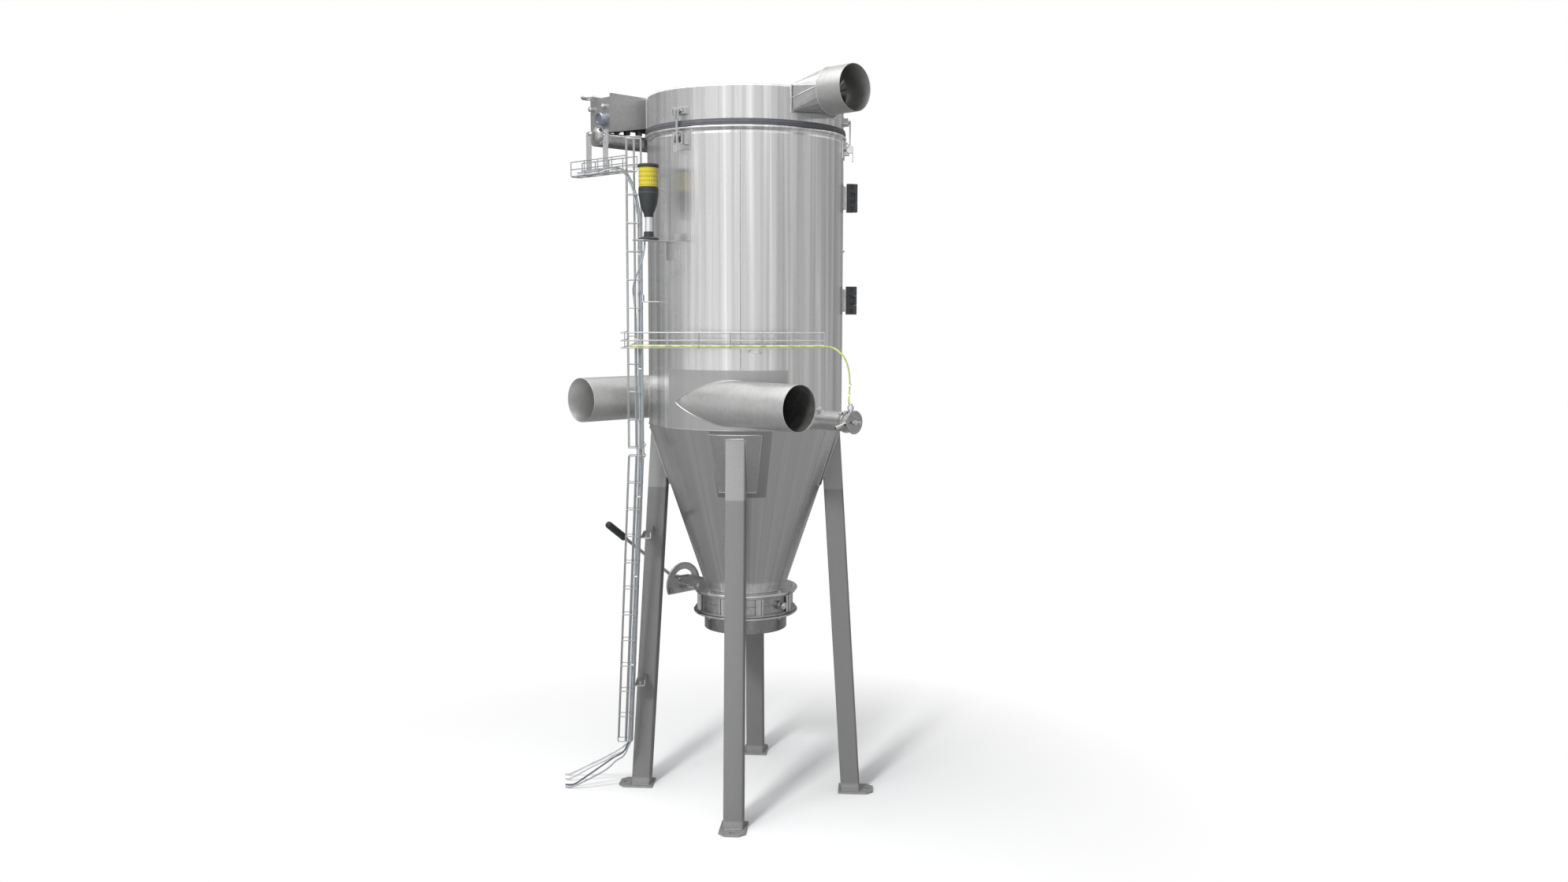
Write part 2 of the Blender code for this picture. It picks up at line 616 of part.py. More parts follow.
def square_to_round(shrink, back):
    """Loft from the outlet's rectangle to its circle, along X."""
    half_w = OUTLET_BASE_W / 2 - shrink
    low = OUTLET_BASE_LOW + shrink - OUTLET_Z
    high = OUTLET_BASE_HIGH - shrink - OUTLET_Z
    radius = DUCT_R - shrink
    sides = 24
    corners = ((half_w, high), (-half_w, high), (-half_w, low), (half_w, low))

    def build(bm):
        angles = [2 * math.pi * (i + 0.5) / sides for i in range(sides)]
        round_end = [bm.verts.new((OUTLET_TUBE_START - GAP, radius * math.cos(a), radius * math.sin(a)))
                     for a in angles]
        square_end = [bm.verts.new((OUTLET_BASE_AT, *corners[i * 4 // sides])) for i in range(sides)]
        back_end = [bm.verts.new((back, *corners[i * 4 // sides])) for i in range(sides)]
        for i in range(sides):
            j = (i + 1) % sides
            bm.faces.new((square_end[i], square_end[j], round_end[j], round_end[i]))
            bm.faces.new((back_end[i], back_end[j], square_end[j], square_end[i]))
        bm.faces.new(round_end)
        bm.faces.new(back_end)
        bmesh.ops.remove_doubles(bm, verts=bm.verts, dist=0.00001)
        bmesh.ops.dissolve_degenerate(bm, edges=bm.edges, dist=0.00001)
    return build


def outlet():
    spot = frame(PORT_BEARING, z=OUTLET_Z)
    outer = place(mesh_of(square_to_round(0, VESSEL_R - 0.07), "outlet_transition"),
                  "outlet_transition", "duct_steel", spot)
    inner = place(mesh_of(square_to_round(DUCT_WALL, VESSEL_R - 0.16), "transition_bore"),
                  "transition_bore", matrix=spot)
    mouth = rod("transition_mouth", DUCT_R - DUCT_WALL, (OUTLET_TUBE_START - 0.001, 0, 0),
                (OUTLET_TUBE_START + EPS, 0, 0), matrix=spot, sides=24)
    cut(outer, inner, mouth, CORE)
    ring("outlet_tube", DUCT_R - DUCT_WALL, DUCT_R, OUTLET_TUBE_START, OUTLET_REACH, "duct_steel",
         spot @ ALONG_X, steps=40)


# ---------------------------------------------------------------- filter inside
def filter_inside():
    sheet_z = BODY_TOP_Z - 0.035
    ring("tube_sheet", 0.110, INSIDE_R - GAP, sheet_z, sheet_z + 0.004, "brushed_steel")
    collar_low = sheet_z + 0.004 + GAP
    low = sheet_z - 0.665
    turned("filter_cartridge", (
        (0.135, collar_low + 0.012), (0.135, collar_low), (0.108, collar_low), (0.108, sheet_z - 0.012),
        (0.130, sheet_z - 0.012), (0.130, low), (0.012, low), (0.012, low + 0.012), (0.085, low + 0.012),
        (0.085, collar_low + 0.012)), "filter_fleece", steps=32)


def blow_pipe():
    """Pulse pipe from the cleaning unit to a nozzle over the cartridge."""
    out = bearing(UNIT_BEARING)
    beside = bearing(UNIT_BEARING - 90)
    centre = (UNIT_NEAR + UNIT_FAR) / 2
    level = Vector((0, 0, BLOW_PIPE_Z))
    start = out * (VESSEL_R - 0.06) + beside * centre + level
    route = [start, start - out * 0.04, start - out * 0.10, start - out * 0.135,
             out * 0.12 + beside * centre * 0.94 + level,
             out * 0.075 + beside * centre * 0.72 + level, out * 0.01 + beside * 0.05 + level,
             level + Vector((0, 0, -0.012)), level + Vector((0, 0, -0.035)), level + Vector((0, 0, -0.065))]
    tube("blow_pipe", smooth(route, 28), BLOW_PIPE_R, "brushed_steel", resolution=2)


# ---------------------------------------------------------------- service door
def hinge_half(name, level, side, spans, finish="black_plastic", parent=None, pin=False):
    """Plastic hinge leaf with its knuckles; side is -1 on the body and 1 on the door."""
    spot = frame(HINGE_BEARING, z=level)
    leaf = block(name, (0.0265, 0.006, HINGE_H), (VESSEL_R + 0.02825, side * 0.0095, 0), finish, spot, parent)
    for index, (low, high) in enumerate(spans):
        low, high = low * HINGE_H, high * HINGE_H
        bridge = block(f"{name}_bridge_{index}", (0.009, 0.0115, high - low - 0.002),
                       (VESSEL_R + 0.0445, side * 0.00525, (low + high) / 2), matrix=spot)
        barrel = rod(f"{name}_barrel_{index}", 0.008, (HINGE_PIN_AT, 0, low), (HINGE_PIN_AT, 0, high),
                     matrix=spot)
        join(leaf, bridge, barrel)
    if pin:
        join(leaf, rod(name + "_pin", HINGE_PIN_R, (HINGE_PIN_AT, 0, -HINGE_H / 2),
                       (HINGE_PIN_AT, 0, HINGE_H / 2), matrix=spot, sides=12))
    else:
        cut(leaf, rod(name + "_bore", HINGE_PIN_R + GAP, (HINGE_PIN_AT, 0, -HINGE_H),
                      (HINGE_PIN_AT, 0, HINGE_H), matrix=spot, sides=12))


def service_door(pivot):
    inner = VESSEL_R + GAP
    door = ring("service_door", inner, inner + DOOR_T, DOOR_LOW, DOOR_HIGH, "brushed_steel", Matrix(), pivot)
    boolean(door, wedge("door_outline", DOOR_FROM, DOOR_TO, DOOR_LOW - EPS, DOOR_HIGH + EPS), "INTERSECT")
    for tag, level in HINGE_LEVELS:
        spot = frame(HINGE_BEARING, z=level)
        flange = block(f"door_flange_{tag}", (0.0355, 0.004, ANGLE_H), (VESSEL_R + 0.01985, 0.0042, 0),
                       matrix=spot)
        web = block(f"door_web_{tag}", (0.004, 0.060, ANGLE_H), (VESSEL_R + 0.0036, 0.0322, 0), matrix=spot)
        trim = vessel_core(f"door_trim_{tag}", inner, level - 0.2, level + 0.2)
        cut(web, trim)
        cut(flange, trim)
        join(door, web, flange)
        hinge_half(f"{tag}_hinge_base", level, -1, ((-0.5, -0.165), (0.165, 0.5)), pin=True)
        hinge_half(f"{tag}_hinge_leaf", level, 1, ((-0.165 + GAP / HINGE_H, 0.165 - GAP / HINGE_H),),
                   parent=pivot)


def door_handle(pivot):
    """Bow handle near the door's free edge."""
    spot = frame(DOOR_TO - HANDLE_INSET, z=DOOR_MID_Z)
    skin = VESSEL_R + GAP + DOOR_T
    handle = block("door_handle", (0.012, 0.020, 0.140), (skin + 0.036, 0, 0), "black_plastic", spot, pivot)
    for side in (-1, 1):
        post = block(f"door_handle_post_{side}", (0.038, 0.018, 0.018), (skin + 0.015, 0, side * 0.0605),
                     matrix=spot)
        join(handle, post)
    cut(handle, vessel_core("handle_room", skin + GAP, DOOR_LOW, DOOR_HIGH))


# ---------------------------------------------------------------- head clamps
def clamp(tag, degrees, lever_pivot, hook_pivot):
    spot = frame(degrees, CLAMP_PIVOT_R, CLAMP_PIVOT_Z)
    lever = block("clamp_lever_" + tag, (0.003, 0.0166, 0.057), (0.0185, 0, -0.0305), "brushed_steel", spot,
                  lever_pivot)
    for side in (-1, 1):
        cheek = block(f"clamp_cheek_{tag}_{side}", (0.021, 0.0028, 0.0225), (0.0085, side * 0.0068, -0.01375),
                      matrix=spot)
        eye = rod(f"clamp_eye_{tag}_{side}", 0.0065, (0, side * 0.0053, 0), (0, side * 0.0083, 0), matrix=spot,
                  sides=14)
        join(lever, cheek, eye)
    hook_pin = rod(f"clamp_hook_pin_{tag}", CLAMP_PIN_R, (0, -0.007, -CLAMP_THROW), (0, 0.007, -CLAMP_THROW),
                   matrix=spot, sides=10)
    slot = block(f"clamp_slot_{tag}", (0.012, 0.0090, 0.044), (0.0185, 0, -0.014), matrix=spot)
    cut(lever, slot)
    join(lever, hook_pin)
    cut(lever, rod(f"clamp_lever_bore_{tag}", CLAMP_PIN_R + GAP, (0, -0.02, 0), (0, 0.02, 0), matrix=spot,
                   sides=10))
    reach = KEEPER_Z - CLAMP_PIVOT_Z
    hook = rod("clamp_hook_" + tag, 0.0048, (0, -0.004, -CLAMP_THROW), (0, 0.004, -CLAMP_THROW),
               "brushed_steel", spot, hook_pivot, sides=14)
    foot_bar = block(f"clamp_hook_foot_{tag}", (0.011, 0.008, 0.006), (0.0055, 0, -CLAMP_THROW), matrix=spot)
    shank = block(f"clamp_hook_shank_{tag}", (0.005, 0.008, reach + CLAMP_THROW + 0.013),
                  (0.0083, 0, (reach - CLAMP_THROW + 0.010) / 2), matrix=spot)
    claw = block(f"clamp_hook_claw_{tag}", (0.016, 0.022, 0.007), (0.0028, 0, reach + GAP + 0.0035),
                 matrix=spot)
    join(hook, foot_bar, shank, claw)
    cut(hook, rod(f"clamp_hook_bore_{tag}", CLAMP_PIN_R + GAP, (0, -0.02, -CLAMP_THROW),
                  (0, 0.02, -CLAMP_THROW), matrix=spot, sides=10))


# ---------------------------------------------------------------- beacon
def beacon():
    spot = frame(BEACON_BEARING)
    width, thickness, drop = 0.056, 0.004, 0.066
    shelf = block("beacon_bracket", (0.180, width, thickness),
                  (BEACON_AT - 0.030, 0, BEACON_PLATE_Z - thickness / 2), "brushed_steel", spot)
    leaf = block("beacon_bracket_leaf", (0.020, width, drop),
                 (VESSEL_R - 0.004, 0, BEACON_PLATE_Z - drop / 2), matrix=spot)
    outer = ring("beacon_leaf_envelope", VESSEL_R + thickness, VESSEL_R + 0.14, BEACON_PLATE_Z - 0.17,
                 BEACON_PLATE_Z + 0.13)
    cut(leaf, outer)
    join(shelf, leaf)
    cut(shelf, CORE)
    base = BEACON_PLATE_Z + GAP
    column = frame(BEACON_BEARING, BEACON_AT)
    solid_turned("beacon_stand", (
        (0, base + 0.078), (BEACON_TUBE_R, base + 0.078), (BEACON_TUBE_R, base + 0.030), (0.016, base + 0.028),
        (0.017, base + 0.016), (0.034, base + 0.010), (0.035, base), (0, base)), "aluminium", column, steps=24)
    low = base + 0.078 + GAP
    lens = BEACON_PLATE_Z + 0.180
    solid_turned("beacon_base", (
        (0, lens - GAP), (BEACON_R, lens - GAP), (BEACON_R, lens - 0.038), (0.030, lens - 0.060),
        (0.016, low + 0.004), (0.015, low), (0, low)), "black_plastic", column, steps=24)
    solid_turned("beacon_lens", ((0, lens + 0.067), (0.0335, lens + 0.067), (0.0335, lens), (0, lens)),
                 "amber_lens", column, steps=24)
    cap = lens + 0.067 + GAP
    solid_turned("beacon_cap", (
        (0, cap + 0.011), (0.034, cap + 0.011), (0.0365, cap + 0.008), (0.0365, cap), (0, cap)),
        "black_plastic", column, steps=24)


# ---------------------------------------------------------------- cleaning unit
def unit_point(out, beside, z):
    return bearing(UNIT_BEARING) * out + bearing(UNIT_BEARING - 90) * beside + Vector((0, 0, z))


def unit_plate(name, outline, near, far, finish=None):
    """Outline in the unit's lengthwise vertical plane, extruded from its near to its far side."""
    face = frame(UNIT_BEARING, side=-(near + far) / 2) @ Matrix.Rotation(math.radians(90), 4, "X")
    return plate(name, outline, far - near, finish, face)


def cleaning_unit():
    wall = UNIT_WALL
    housing = unit_plate("cleaning_housing", (
        (0.08, UNIT_LOW_IN), (UNIT_END - 0.168, UNIT_LOW_IN), (UNIT_END, UNIT_LOW_OUT), (UNIT_END, UNIT_TOP_Z),
        (0.08, UNIT_TOP_Z)), UNIT_NEAR, UNIT_FAR, "duct_steel")
    low, top, end = UNIT_LOW_OUT - 0.05, UNIT_TOP_Z - wall, UNIT_END - wall
    inside = unit_plate("housing_inside", ((0.02, low), (end, low), (end, top), (0.02, top)),
                        UNIT_NEAR + wall, UNIT_FAR - wall)
    coupling = rod("air_coupling", COUPLING_R, unit_point(UNIT_END - 0.001, *COUPLING_AT),
                   unit_point(UNIT_END + 0.028, *COUPLING_AT), sides=20)
    eye_spot = unit_point(UNIT_END + 0.010, UNIT_FAR - 0.006, UNIT_TOP_Z - 0.007)
    eye = ring("lifting_eye", 0.018, 0.030, -0.004, 0.004, matrix=Matrix.Translation(eye_spot), steps=20)
    join(housing, coupling)
    cut(housing, inside, CORE)
    join(housing, eye)

    centre, level = (UNIT_NEAR + UNIT_FAR) / 2, (TANK_LOW_Z + TANK_HIGH_Z) / 2
    width, height = UNIT_FAR - UNIT_NEAR - 0.006, TANK_HIGH_Z - TANK_LOW_Z
    tank = block("air_tank", (0.30, width, height), (UNIT_END - 0.15, -centre, level), "duct_steel",
                 frame(UNIT_BEARING))
    room = block("air_tank_room", (0.17, width - 0.008, height - 0.008), (UNIT_END - 0.10, -centre, level),
                 matrix=frame(UNIT_BEARING))
    port = rod("air_tank_port", 0.015, unit_point(UNIT_END - 0.079, centre, TANK_LOW_Z + 0.02),
               unit_point(UNIT_END - 0.079, centre, TANK_HIGH_Z + EPS), sides=16)
    valve = rod("pulse_valve", 0.021, unit_point(UNIT_END - 0.002, UNIT_NEAR + 0.067, TANK_LOW_Z + 0.0165),
                unit_point(UNIT_END + 0.022, UNIT_NEAR + 0.067, TANK_LOW_Z + 0.0165), sides=20)
    collar = vessel_core("tank_collar_room", ROLLED_RING_R + GAP, TANK_LOW_Z - EPS, TANK_HIGH_Z + EPS)
    join(tank, valve)
    cut(tank, collar, room, port)


# ---------------------------------------------------------------- cable trays
def tray_frame():
    """Frame of the cable trays: X along the middle tray, Y away from the front."""
    return Matrix.Rotation(math.radians(TRAY_BEARING), 4, "Z")


def tray(name, stations, matrix, finish="zinc_wire"):
    """Open channel of welded wire: each station is the four corners of the channel's section."""
    def build(bm):
        row = [bm.verts.new(spot) for spot in stations[0]]
        edges = [bm.edges.new((row[i], row[i + 1])) for i in range(len(row) - 1)]
        for station in stations[1:]:
            made = bmesh.ops.extrude_edge_only(bm, edges=edges)["geom"]
            moved = [item for item in made if isinstance(item, bmesh.types.BMVert)]
            for vert in moved:
                nearest = min(range(len(row)), key=lambda i: (vert.co - row[i].co).length)
                vert.co = station[nearest]
                vert.index = nearest
            row = sorted(moved, key=lambda vert: vert.index)
            edges = [bm.edges.get((row[i], row[i + 1])) for i in range(len(row) - 1)]
    item = place(mesh_of(build, name), name, finish, matrix)
    wire = item.modifiers.new("wire", "WIREFRAME")
    wire.thickness = TRAY_WIRE
    wire.use_boundary = True
    wire.use_even_offset = True
    wire.use_replace = True
    return item


def along(start, end, section, pitch=TRAY_PITCH):
    """Stations every pitch between two points, each the section moved to that point."""
    start, end = Vector(start), Vector(end)
    count = max(1, round((end - start).length / pitch))
    return [[start.lerp(end, i / count) + Vector(corner) for corner in section] for i in range(count + 1)]


# In the tray frame: ACROSS points from the left duct's axis to the side tray, which stands clear of the duct.
SIDE_X = -(VESSEL_R + 0.011)             # closed side of the side tray
ACROSS = bearing(PORT_BEARING - TRAY_BEARING)
DUCT_TO_TRAY = 0.0027
SIDE_Y = ((INLET_OFFSET - DUCT_R - DUCT_TO_TRAY + ACROSS.x * (SIDE_X - TRAY_H)) / -ACROSS.y) - TRAY_W / 2
MIDDLE_Y, MIDDLE_Z = -(VESSEL_R + 0.070), BODY_BOTTOM_Z + 0.289
MIDDLE_LEFT, MIDDLE_RIGHT = SIDE_X - 0.027, 0.268
SIDE_TOP_Z, SIDE_LOW_Z = BODY_TOP_Z - 0.020, BODY_BOTTOM_Z - 0.077
LEG_TRAY_TOP = (SIDE_X, SIDE_Y, SIDE_LOW_Z - 0.030)
LEG_TRAY_LOW = (-(LEG_FOOT_R + 0.0242), -0.055, 0.210)
UPPER_OUT, UPPER_Z = UNIT_END + 0.006, BODY_TOP_Z - 0.147
UPPER_FROM, UPPER_TO = UNIT_NEAR - 0.125, UNIT_NEAR + 0.195


def trays():
    half = TRAY_W / 2
    side_section = ((-TRAY_H, -half, 0), (0, -half, 0), (0, half, 0), (-TRAY_H, half, 0))
    side = tray("side_tray", along((SIDE_X, SIDE_Y, SIDE_LOW_Z), (SIDE_X, SIDE_Y, SIDE_TOP_Z), side_section),
                tray_frame())
    for index, level in enumerate((DOOR_LOW + 0.192, BODY_TOP_Z - 0.200)):
        arm = block(f"side_tray_arm_{index}", (0.10, TRAY_W + 0.006, 0.006), (SIDE_X + 0.049, SIDE_Y, level),
                    matrix=tray_frame())
        join(side, arm)
    cut(side, CORE)

    run_x = ((0, -half, TRAY_H), (0, -half, 0), (0, half, 0), (0, half, TRAY_H))
    run_y = ((-half, 0, TRAY_H), (-half, 0, 0), (half, 0, 0), (half, 0, TRAY_H))
    corner = [[MIDDLE_LEFT + side * half, MIDDLE_Y + side * half, MIDDLE_Z + rise]
              for side, rise in ((-1, TRAY_H), (-1, 0), (1, 0), (1, TRAY_H))]
    back = along((MIDDLE_LEFT, SIDE_Y - half - 0.006, MIDDLE_Z),
                 (MIDDLE_LEFT, MIDDLE_Y + half, MIDDLE_Z), run_y)
    front = along((MIDDLE_LEFT + half, MIDDLE_Y, MIDDLE_Z), (MIDDLE_RIGHT, MIDDLE_Y, MIDDLE_Z), run_x)
    stations = back[:-1] + [[Vector(spot) for spot in corner]] + front[1:]
    middle = tray("middle_tray", stations, tray_frame())
    arm = block("middle_tray_arm", (0.035, 0.075, 0.005), (0.0, MIDDLE_Y + 0.0400, MIDDLE_Z - 0.0035),
                matrix=tray_frame())
    tie = block("middle_tray_tie", (0.020, 0.026, 0.005),
                (MIDDLE_LEFT - 0.005, SIDE_Y - half - 0.0155, MIDDLE_Z - 0.0035), matrix=tray_frame())
    join(middle, arm, tie)
    cut(middle, CORE)

    low = tray("leg_tray", along(LEG_TRAY_TOP, LEG_TRAY_LOW, side_section), tray_frame())
    for index, share in enumerate((0.28, 0.80)):
        spot = Vector(LEG_TRAY_TOP).lerp(Vector(LEG_TRAY_LOW), share)
        bracket = block(f"leg_tray_arm_{index}", (0.044, 0.24, 0.006), (0.021, 0.10, 0),
                        matrix=tray_frame() @ Matrix.Translation(spot))
        join(low, bracket)
    cut(low, block("leg_tray_stop", (2, 1, 3), (0, 0.5 - LEG_SIZE / 2 - GAP, 1), matrix=Matrix()))


def upper_tray():
    half = TRAY_W / 2

    def section(beside):
        return [unit_point(UPPER_OUT + out, beside, UPPER_Z + rise)
                for out, rise in ((-half, TRAY_H), (-half, 0), (half, 0), (half, TRAY_H))]
    count = 4
    stations = [section(UPPER_FROM + (UPPER_TO - UPPER_FROM) * i / count) for i in range(count + 1)]
    upper = tray("upper_tray", stations, Matrix())
    for index, beside in enumerate((UNIT_NEAR + 0.027, UNIT_NEAR + 0.125)):
        bar = block(f"upper_tray_bar_{index}", (0.004, 0.028, 0.160),
                    (UNIT_END + GAP + 0.002, -beside, UPPER_Z + 0.078), matrix=frame(UNIT_BEARING))
        join(upper, bar)


# ---------------------------------------------------------------- sensor
def sensor(pivot):
    spot = frame(PORT_BEARING, z=SENSOR_Z) @ ALONG_X
    reach = SENSOR_REACH
    stub = solid_turned("sensor_stub", (
        (0, reach - 0.0055), (0.026, reach - 0.0055), (0.026, reach - 0.030), (0.038, reach - 0.032),
        (0.038, reach - 0.044), (SENSOR_R, reach - 0.046), (SENSOR_R, VESSEL_R + 0.002),
        (SENSOR_R + 0.004, VESSEL_R - 0.002), (SENSOR_R + 0.004, VESSEL_R - 0.015),
        (0, VESSEL_R - 0.015))[::-1], "duct_steel", spot, steps=28)
    for modifier in stub.modifiers:
        modifier.use_normal_flip = True
    level = frame(PORT_BEARING, z=SENSOR_Z)
    gland = rod("sensor_gland", 0.009, (reach - 0.021, 0, 0.020), (reach - 0.021, 0, 0.064), matrix=level,
                sides=12)
    plug = rod("sensor_plug", 0.013, (VESSEL_R + 0.038, -0.012, 0.020), (VESSEL_R + 0.038, -0.024, 0.040),
               matrix=level, sides=6)
    barb = rod("sensor_barb", 0.008, (reach - 0.024, -0.020, -0.006), (reach - 0.036, -0.062, -0.018),
               matrix=level, sides=14)
    join(stub, gland, plug, barb)
    cut(stub, CORE)
    cover = rod("sensor_cover", SENSOR_COVER_R, (reach - 0.005, 0, 0), (reach - 0.001, 0, 0), "duct_steel",
                level, pivot, sides=32)
    hub = rod("sensor_cover_hub", 0.008, (reach - 0.003, 0, 0), (reach + 0.006, 0, 0), matrix=level, sides=16)
    wing = block("sensor_cover_wing", (0.010, 0.034, 0.005), (reach + 0.007, 0, 0), matrix=level)
    join(cover, hub, wing)


# ---------------------------------------------------------------- cables
CABLE_END_Z = 0.206
BUNDLE_ROUTE = (               # tray frame
    (-0.6096, -0.0343, 2.3235), (-0.5442, -0.1031, 2.3235), (-0.5181, -0.1307, 2.3250),
    (-0.4850, -0.1590, 2.3300), (-0.4527, -0.1472, 2.3300), (-0.4300, -0.1520, 2.3180),
    (-0.4100, -0.1570, 2.2850), (-0.3950, -0.1570, 2.2400), (-0.3840, -0.1570, 2.1800),
    (-0.3813, -0.1570, 2.1000), (-0.3813, -0.1570, 1.7000), (-0.3813, -0.1570, 1.4000),
    (-0.3825, -0.1550, 1.3100), (-0.3900, -0.1425, 1.1500), (-0.4120, -0.1030, 0.7300),
    (-0.4396, -0.0545, CABLE_END_Z))
BEACON_ROUTE = (
    (-0.348, -0.330, 2.0656), (-0.350, -0.328, 2.040), (-0.362, -0.310, 1.990), (-0.385, -0.260, 1.945),
    (-0.400, -0.200, 1.905), (-0.399, -0.172, 1.860), (-0.3935, -0.171, 1.800), (-0.3925, -0.171, 1.700),
    (-0.3925, -0.171, 1.400), (-0.3935, -0.169, 1.310), (-0.4010, -0.1565, 1.150), (-0.4230, -0.1170, 0.730),
    (-0.4510, -0.0680, CABLE_END_Z))
SENSOR_ROUTE = (
    (-0.398, -0.2120, 1.7100), (-0.398, -0.300, 1.7095), (-0.396, -0.385, 1.7095), (-0.386, -0.418, 1.7095),
    (-0.345, -0.430, 1.7095), (-0.100, -0.430, 1.7095), (0.200, -0.430, 1.7095), (0.262, -0.430, 1.7100),
    (0.305, -0.428, 1.700), (0.335, -0.425, 1.672), (0.352, -0.418, 1.630), (0.358, -0.405, 1.580),
    (0.3565, -0.392, 1.545), (0.3565, -0.3875, 1.5095))
LEAD_TOP = (-0.4315, -0.1002)    # end of the riser bundle, vessel frame
LEAD_ROUTES = (                  # vessel frame, below the first two points
    ((-0.0036, 0.0036), (-0.449, -0.0920, 0.1865), (-0.466, -0.085, 0.170), (-0.5022, -0.070, 0.1441),
     (-0.5562, -0.035, 0.1047), (-0.6078, 0.000, 0.0703), (-0.668, 0.035, 0.030), (-0.705, 0.058, 0.0075),
     (-0.724, 0.068, 0.0033)),
    ((0.0036, 0.0036), (-0.442, -0.0955, 0.1760), (-0.462, -0.0935, 0.158), (-0.4987, -0.080, 0.1384),
     (-0.5297, -0.065, 0.1135), (-0.5942, -0.040, 0.0743), (-0.6575, -0.010, 0.0300), (-0.693, 0.008, 0.0070),
     (-0.7111, 0.016, 0.0033)),
    ((-0.0036, -0.0036), (-0.457, -0.103, 0.160), (-0.4967, -0.092, 0.1330), (-0.5389, -0.086, 0.1010),
     (-0.6150, -0.072, 0.0430), (-0.6550, -0.058, 0.0130), (-0.682, -0.047, 0.0045), (-0.697, -0.0405, 0.0033)),
    ((0.0036, -0.0036), (-0.452, -0.111, 0.150), (-0.4838, -0.107, 0.1264), (-0.5231, -0.107, 0.0903),
     (-0.5891, -0.100, 0.0500), (-0.6425, -0.086, 0.0190), (-0.673, -0.075, 0.0050), (-0.6917, -0.066, 0.0033)),
)


def cables():
    tube("riser_cables", smooth(BUNDLE_ROUTE, 34), BUNDLE_R, "grey_cable", tray_frame())
    tube("beacon_cable", smooth(BEACON_ROUTE, 30), CABLE_R, "grey_cable", tray_frame())
    tube("sensor_cables", smooth(SENSOR_ROUTE, 28), SENSOR_CABLES_R, "earth_cable", tray_frame())


def loose_leads():
    """Four bare-ended leads that hang from the leg tray and lie out over the floor."""
    for index, ((dx, dy), *rest) in enumerate(LEAD_ROUTES):
        x, y = LEAD_TOP[0] + dx, LEAD_TOP[1] + dy
        top = CABLE_END_Z - GAP - 0.001
        route = [(x, y, top), (x - 0.004, y, top - 0.012), *rest]
        tube(f"lead_{index + 1}", smooth(route, 24), CABLE_R, "black_plastic" if index == 2 else "grey_cable")


# ---------------------------------------------------------------- assembly
def middle_on_origin():
    """Move the root so that the middle of the footprint stands on the origin, the loose leads left out."""
    bpy.context.view_layer.update()
    graph = bpy.context.evaluated_depsgraph_get()
    low, high = Vector((9, 9, 9)), Vector((-9, -9, -9))
    for item in parts.objects:
        if item.type == "EMPTY" or item.name.startswith("lead_"):
            continue
        ready = item.evaluated_get(graph)
        for vert in ready.to_mesh().vertices:
            spot = item.matrix_world @ vert.co
            low = Vector(map(min, low, spot))
            high = Vector(map(max, high, spot))
        ready.to_mesh_clear()
    root.location = (-(low.x + high.x) / 2, -(low.y + high.y) / 2, -low.z)


def build():
    filter_body()
    hopper()
    discharge_valve()
    butterfly = pivot("butterfly_pivot", shaft_frame())
    valve_moving(butterfly)
    hand_lever(butterfly)
    lock_quadrant()
    legs()
    inlet("front_inlet", PORT_BEARING)
    inlet("left_inlet", PORT_BEARING - 90)
    head_gasket()
    head_shell()
    outlet()
    filter_inside()
    blow_pipe()
    door = pivot("door_pivot", frame(HINGE_BEARING, HINGE_PIN_AT, DOOR_MID_Z))
    service_door(door)
    door_handle(door)
    for tag, degrees in zip(("front", "right", "back"), CLAMP_BEARINGS):
        lever = pivot(f"clamp_lever_{tag}_pivot", frame(degrees, CLAMP_PIVOT_R, CLAMP_PIVOT_Z))
        hook_spot = frame(degrees, CLAMP_PIVOT_R, CLAMP_PIVOT_Z - CLAMP_THROW)
        hook = pivot(f"clamp_hook_{tag}_pivot", hook_spot, lever)
        clamp(tag, degrees, lever, hook)
    beacon()
    cleaning_unit()
    trays()
    upper_tray()
    sensor(pivot("sensor_cover_pivot", frame(PORT_BEARING, SENSOR_REACH, SENSOR_Z)))
    cables()
    loose_leads()
    middle_on_origin()


build()
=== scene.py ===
"""Looks of the dust collector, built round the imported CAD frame."""

import math

import bmesh
import bpy
from mathutils import Matrix, Vector

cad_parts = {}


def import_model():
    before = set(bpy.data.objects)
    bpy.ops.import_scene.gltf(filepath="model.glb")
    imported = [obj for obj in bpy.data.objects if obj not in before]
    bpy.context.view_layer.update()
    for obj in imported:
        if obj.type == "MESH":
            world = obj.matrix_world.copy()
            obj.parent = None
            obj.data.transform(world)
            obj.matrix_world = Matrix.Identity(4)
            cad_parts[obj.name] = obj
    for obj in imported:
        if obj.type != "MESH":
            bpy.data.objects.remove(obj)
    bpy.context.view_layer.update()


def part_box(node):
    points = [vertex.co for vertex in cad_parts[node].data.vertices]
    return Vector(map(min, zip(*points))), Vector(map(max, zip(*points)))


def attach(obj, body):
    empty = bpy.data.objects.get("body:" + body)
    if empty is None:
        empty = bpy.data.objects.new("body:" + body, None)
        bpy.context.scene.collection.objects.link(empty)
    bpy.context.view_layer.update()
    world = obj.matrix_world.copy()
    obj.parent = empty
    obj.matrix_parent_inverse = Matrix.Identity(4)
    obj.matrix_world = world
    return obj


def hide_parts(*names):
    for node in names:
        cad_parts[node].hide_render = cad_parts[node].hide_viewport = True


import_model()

# ---------------------------------------------------------------- places read from the frame
CONE_LOW, CONE_HIGH = (Vector(corner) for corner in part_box("hopper_cone"))
AXIS = Vector(((CONE_LOW.x + CONE_HIGH.x) / 2, (CONE_LOW.y + CONE_HIGH.y) / 2, 0))
R = (CONE_HIGH.x - CONE_LOW.x) / 2             # vessel radius
SEAM_Z, NECK_Z = CONE_HIGH.z, CONE_LOW.z
NECK_R = 0.15
SLOPE = (R - NECK_R) / (SEAM_Z - NECK_Z)
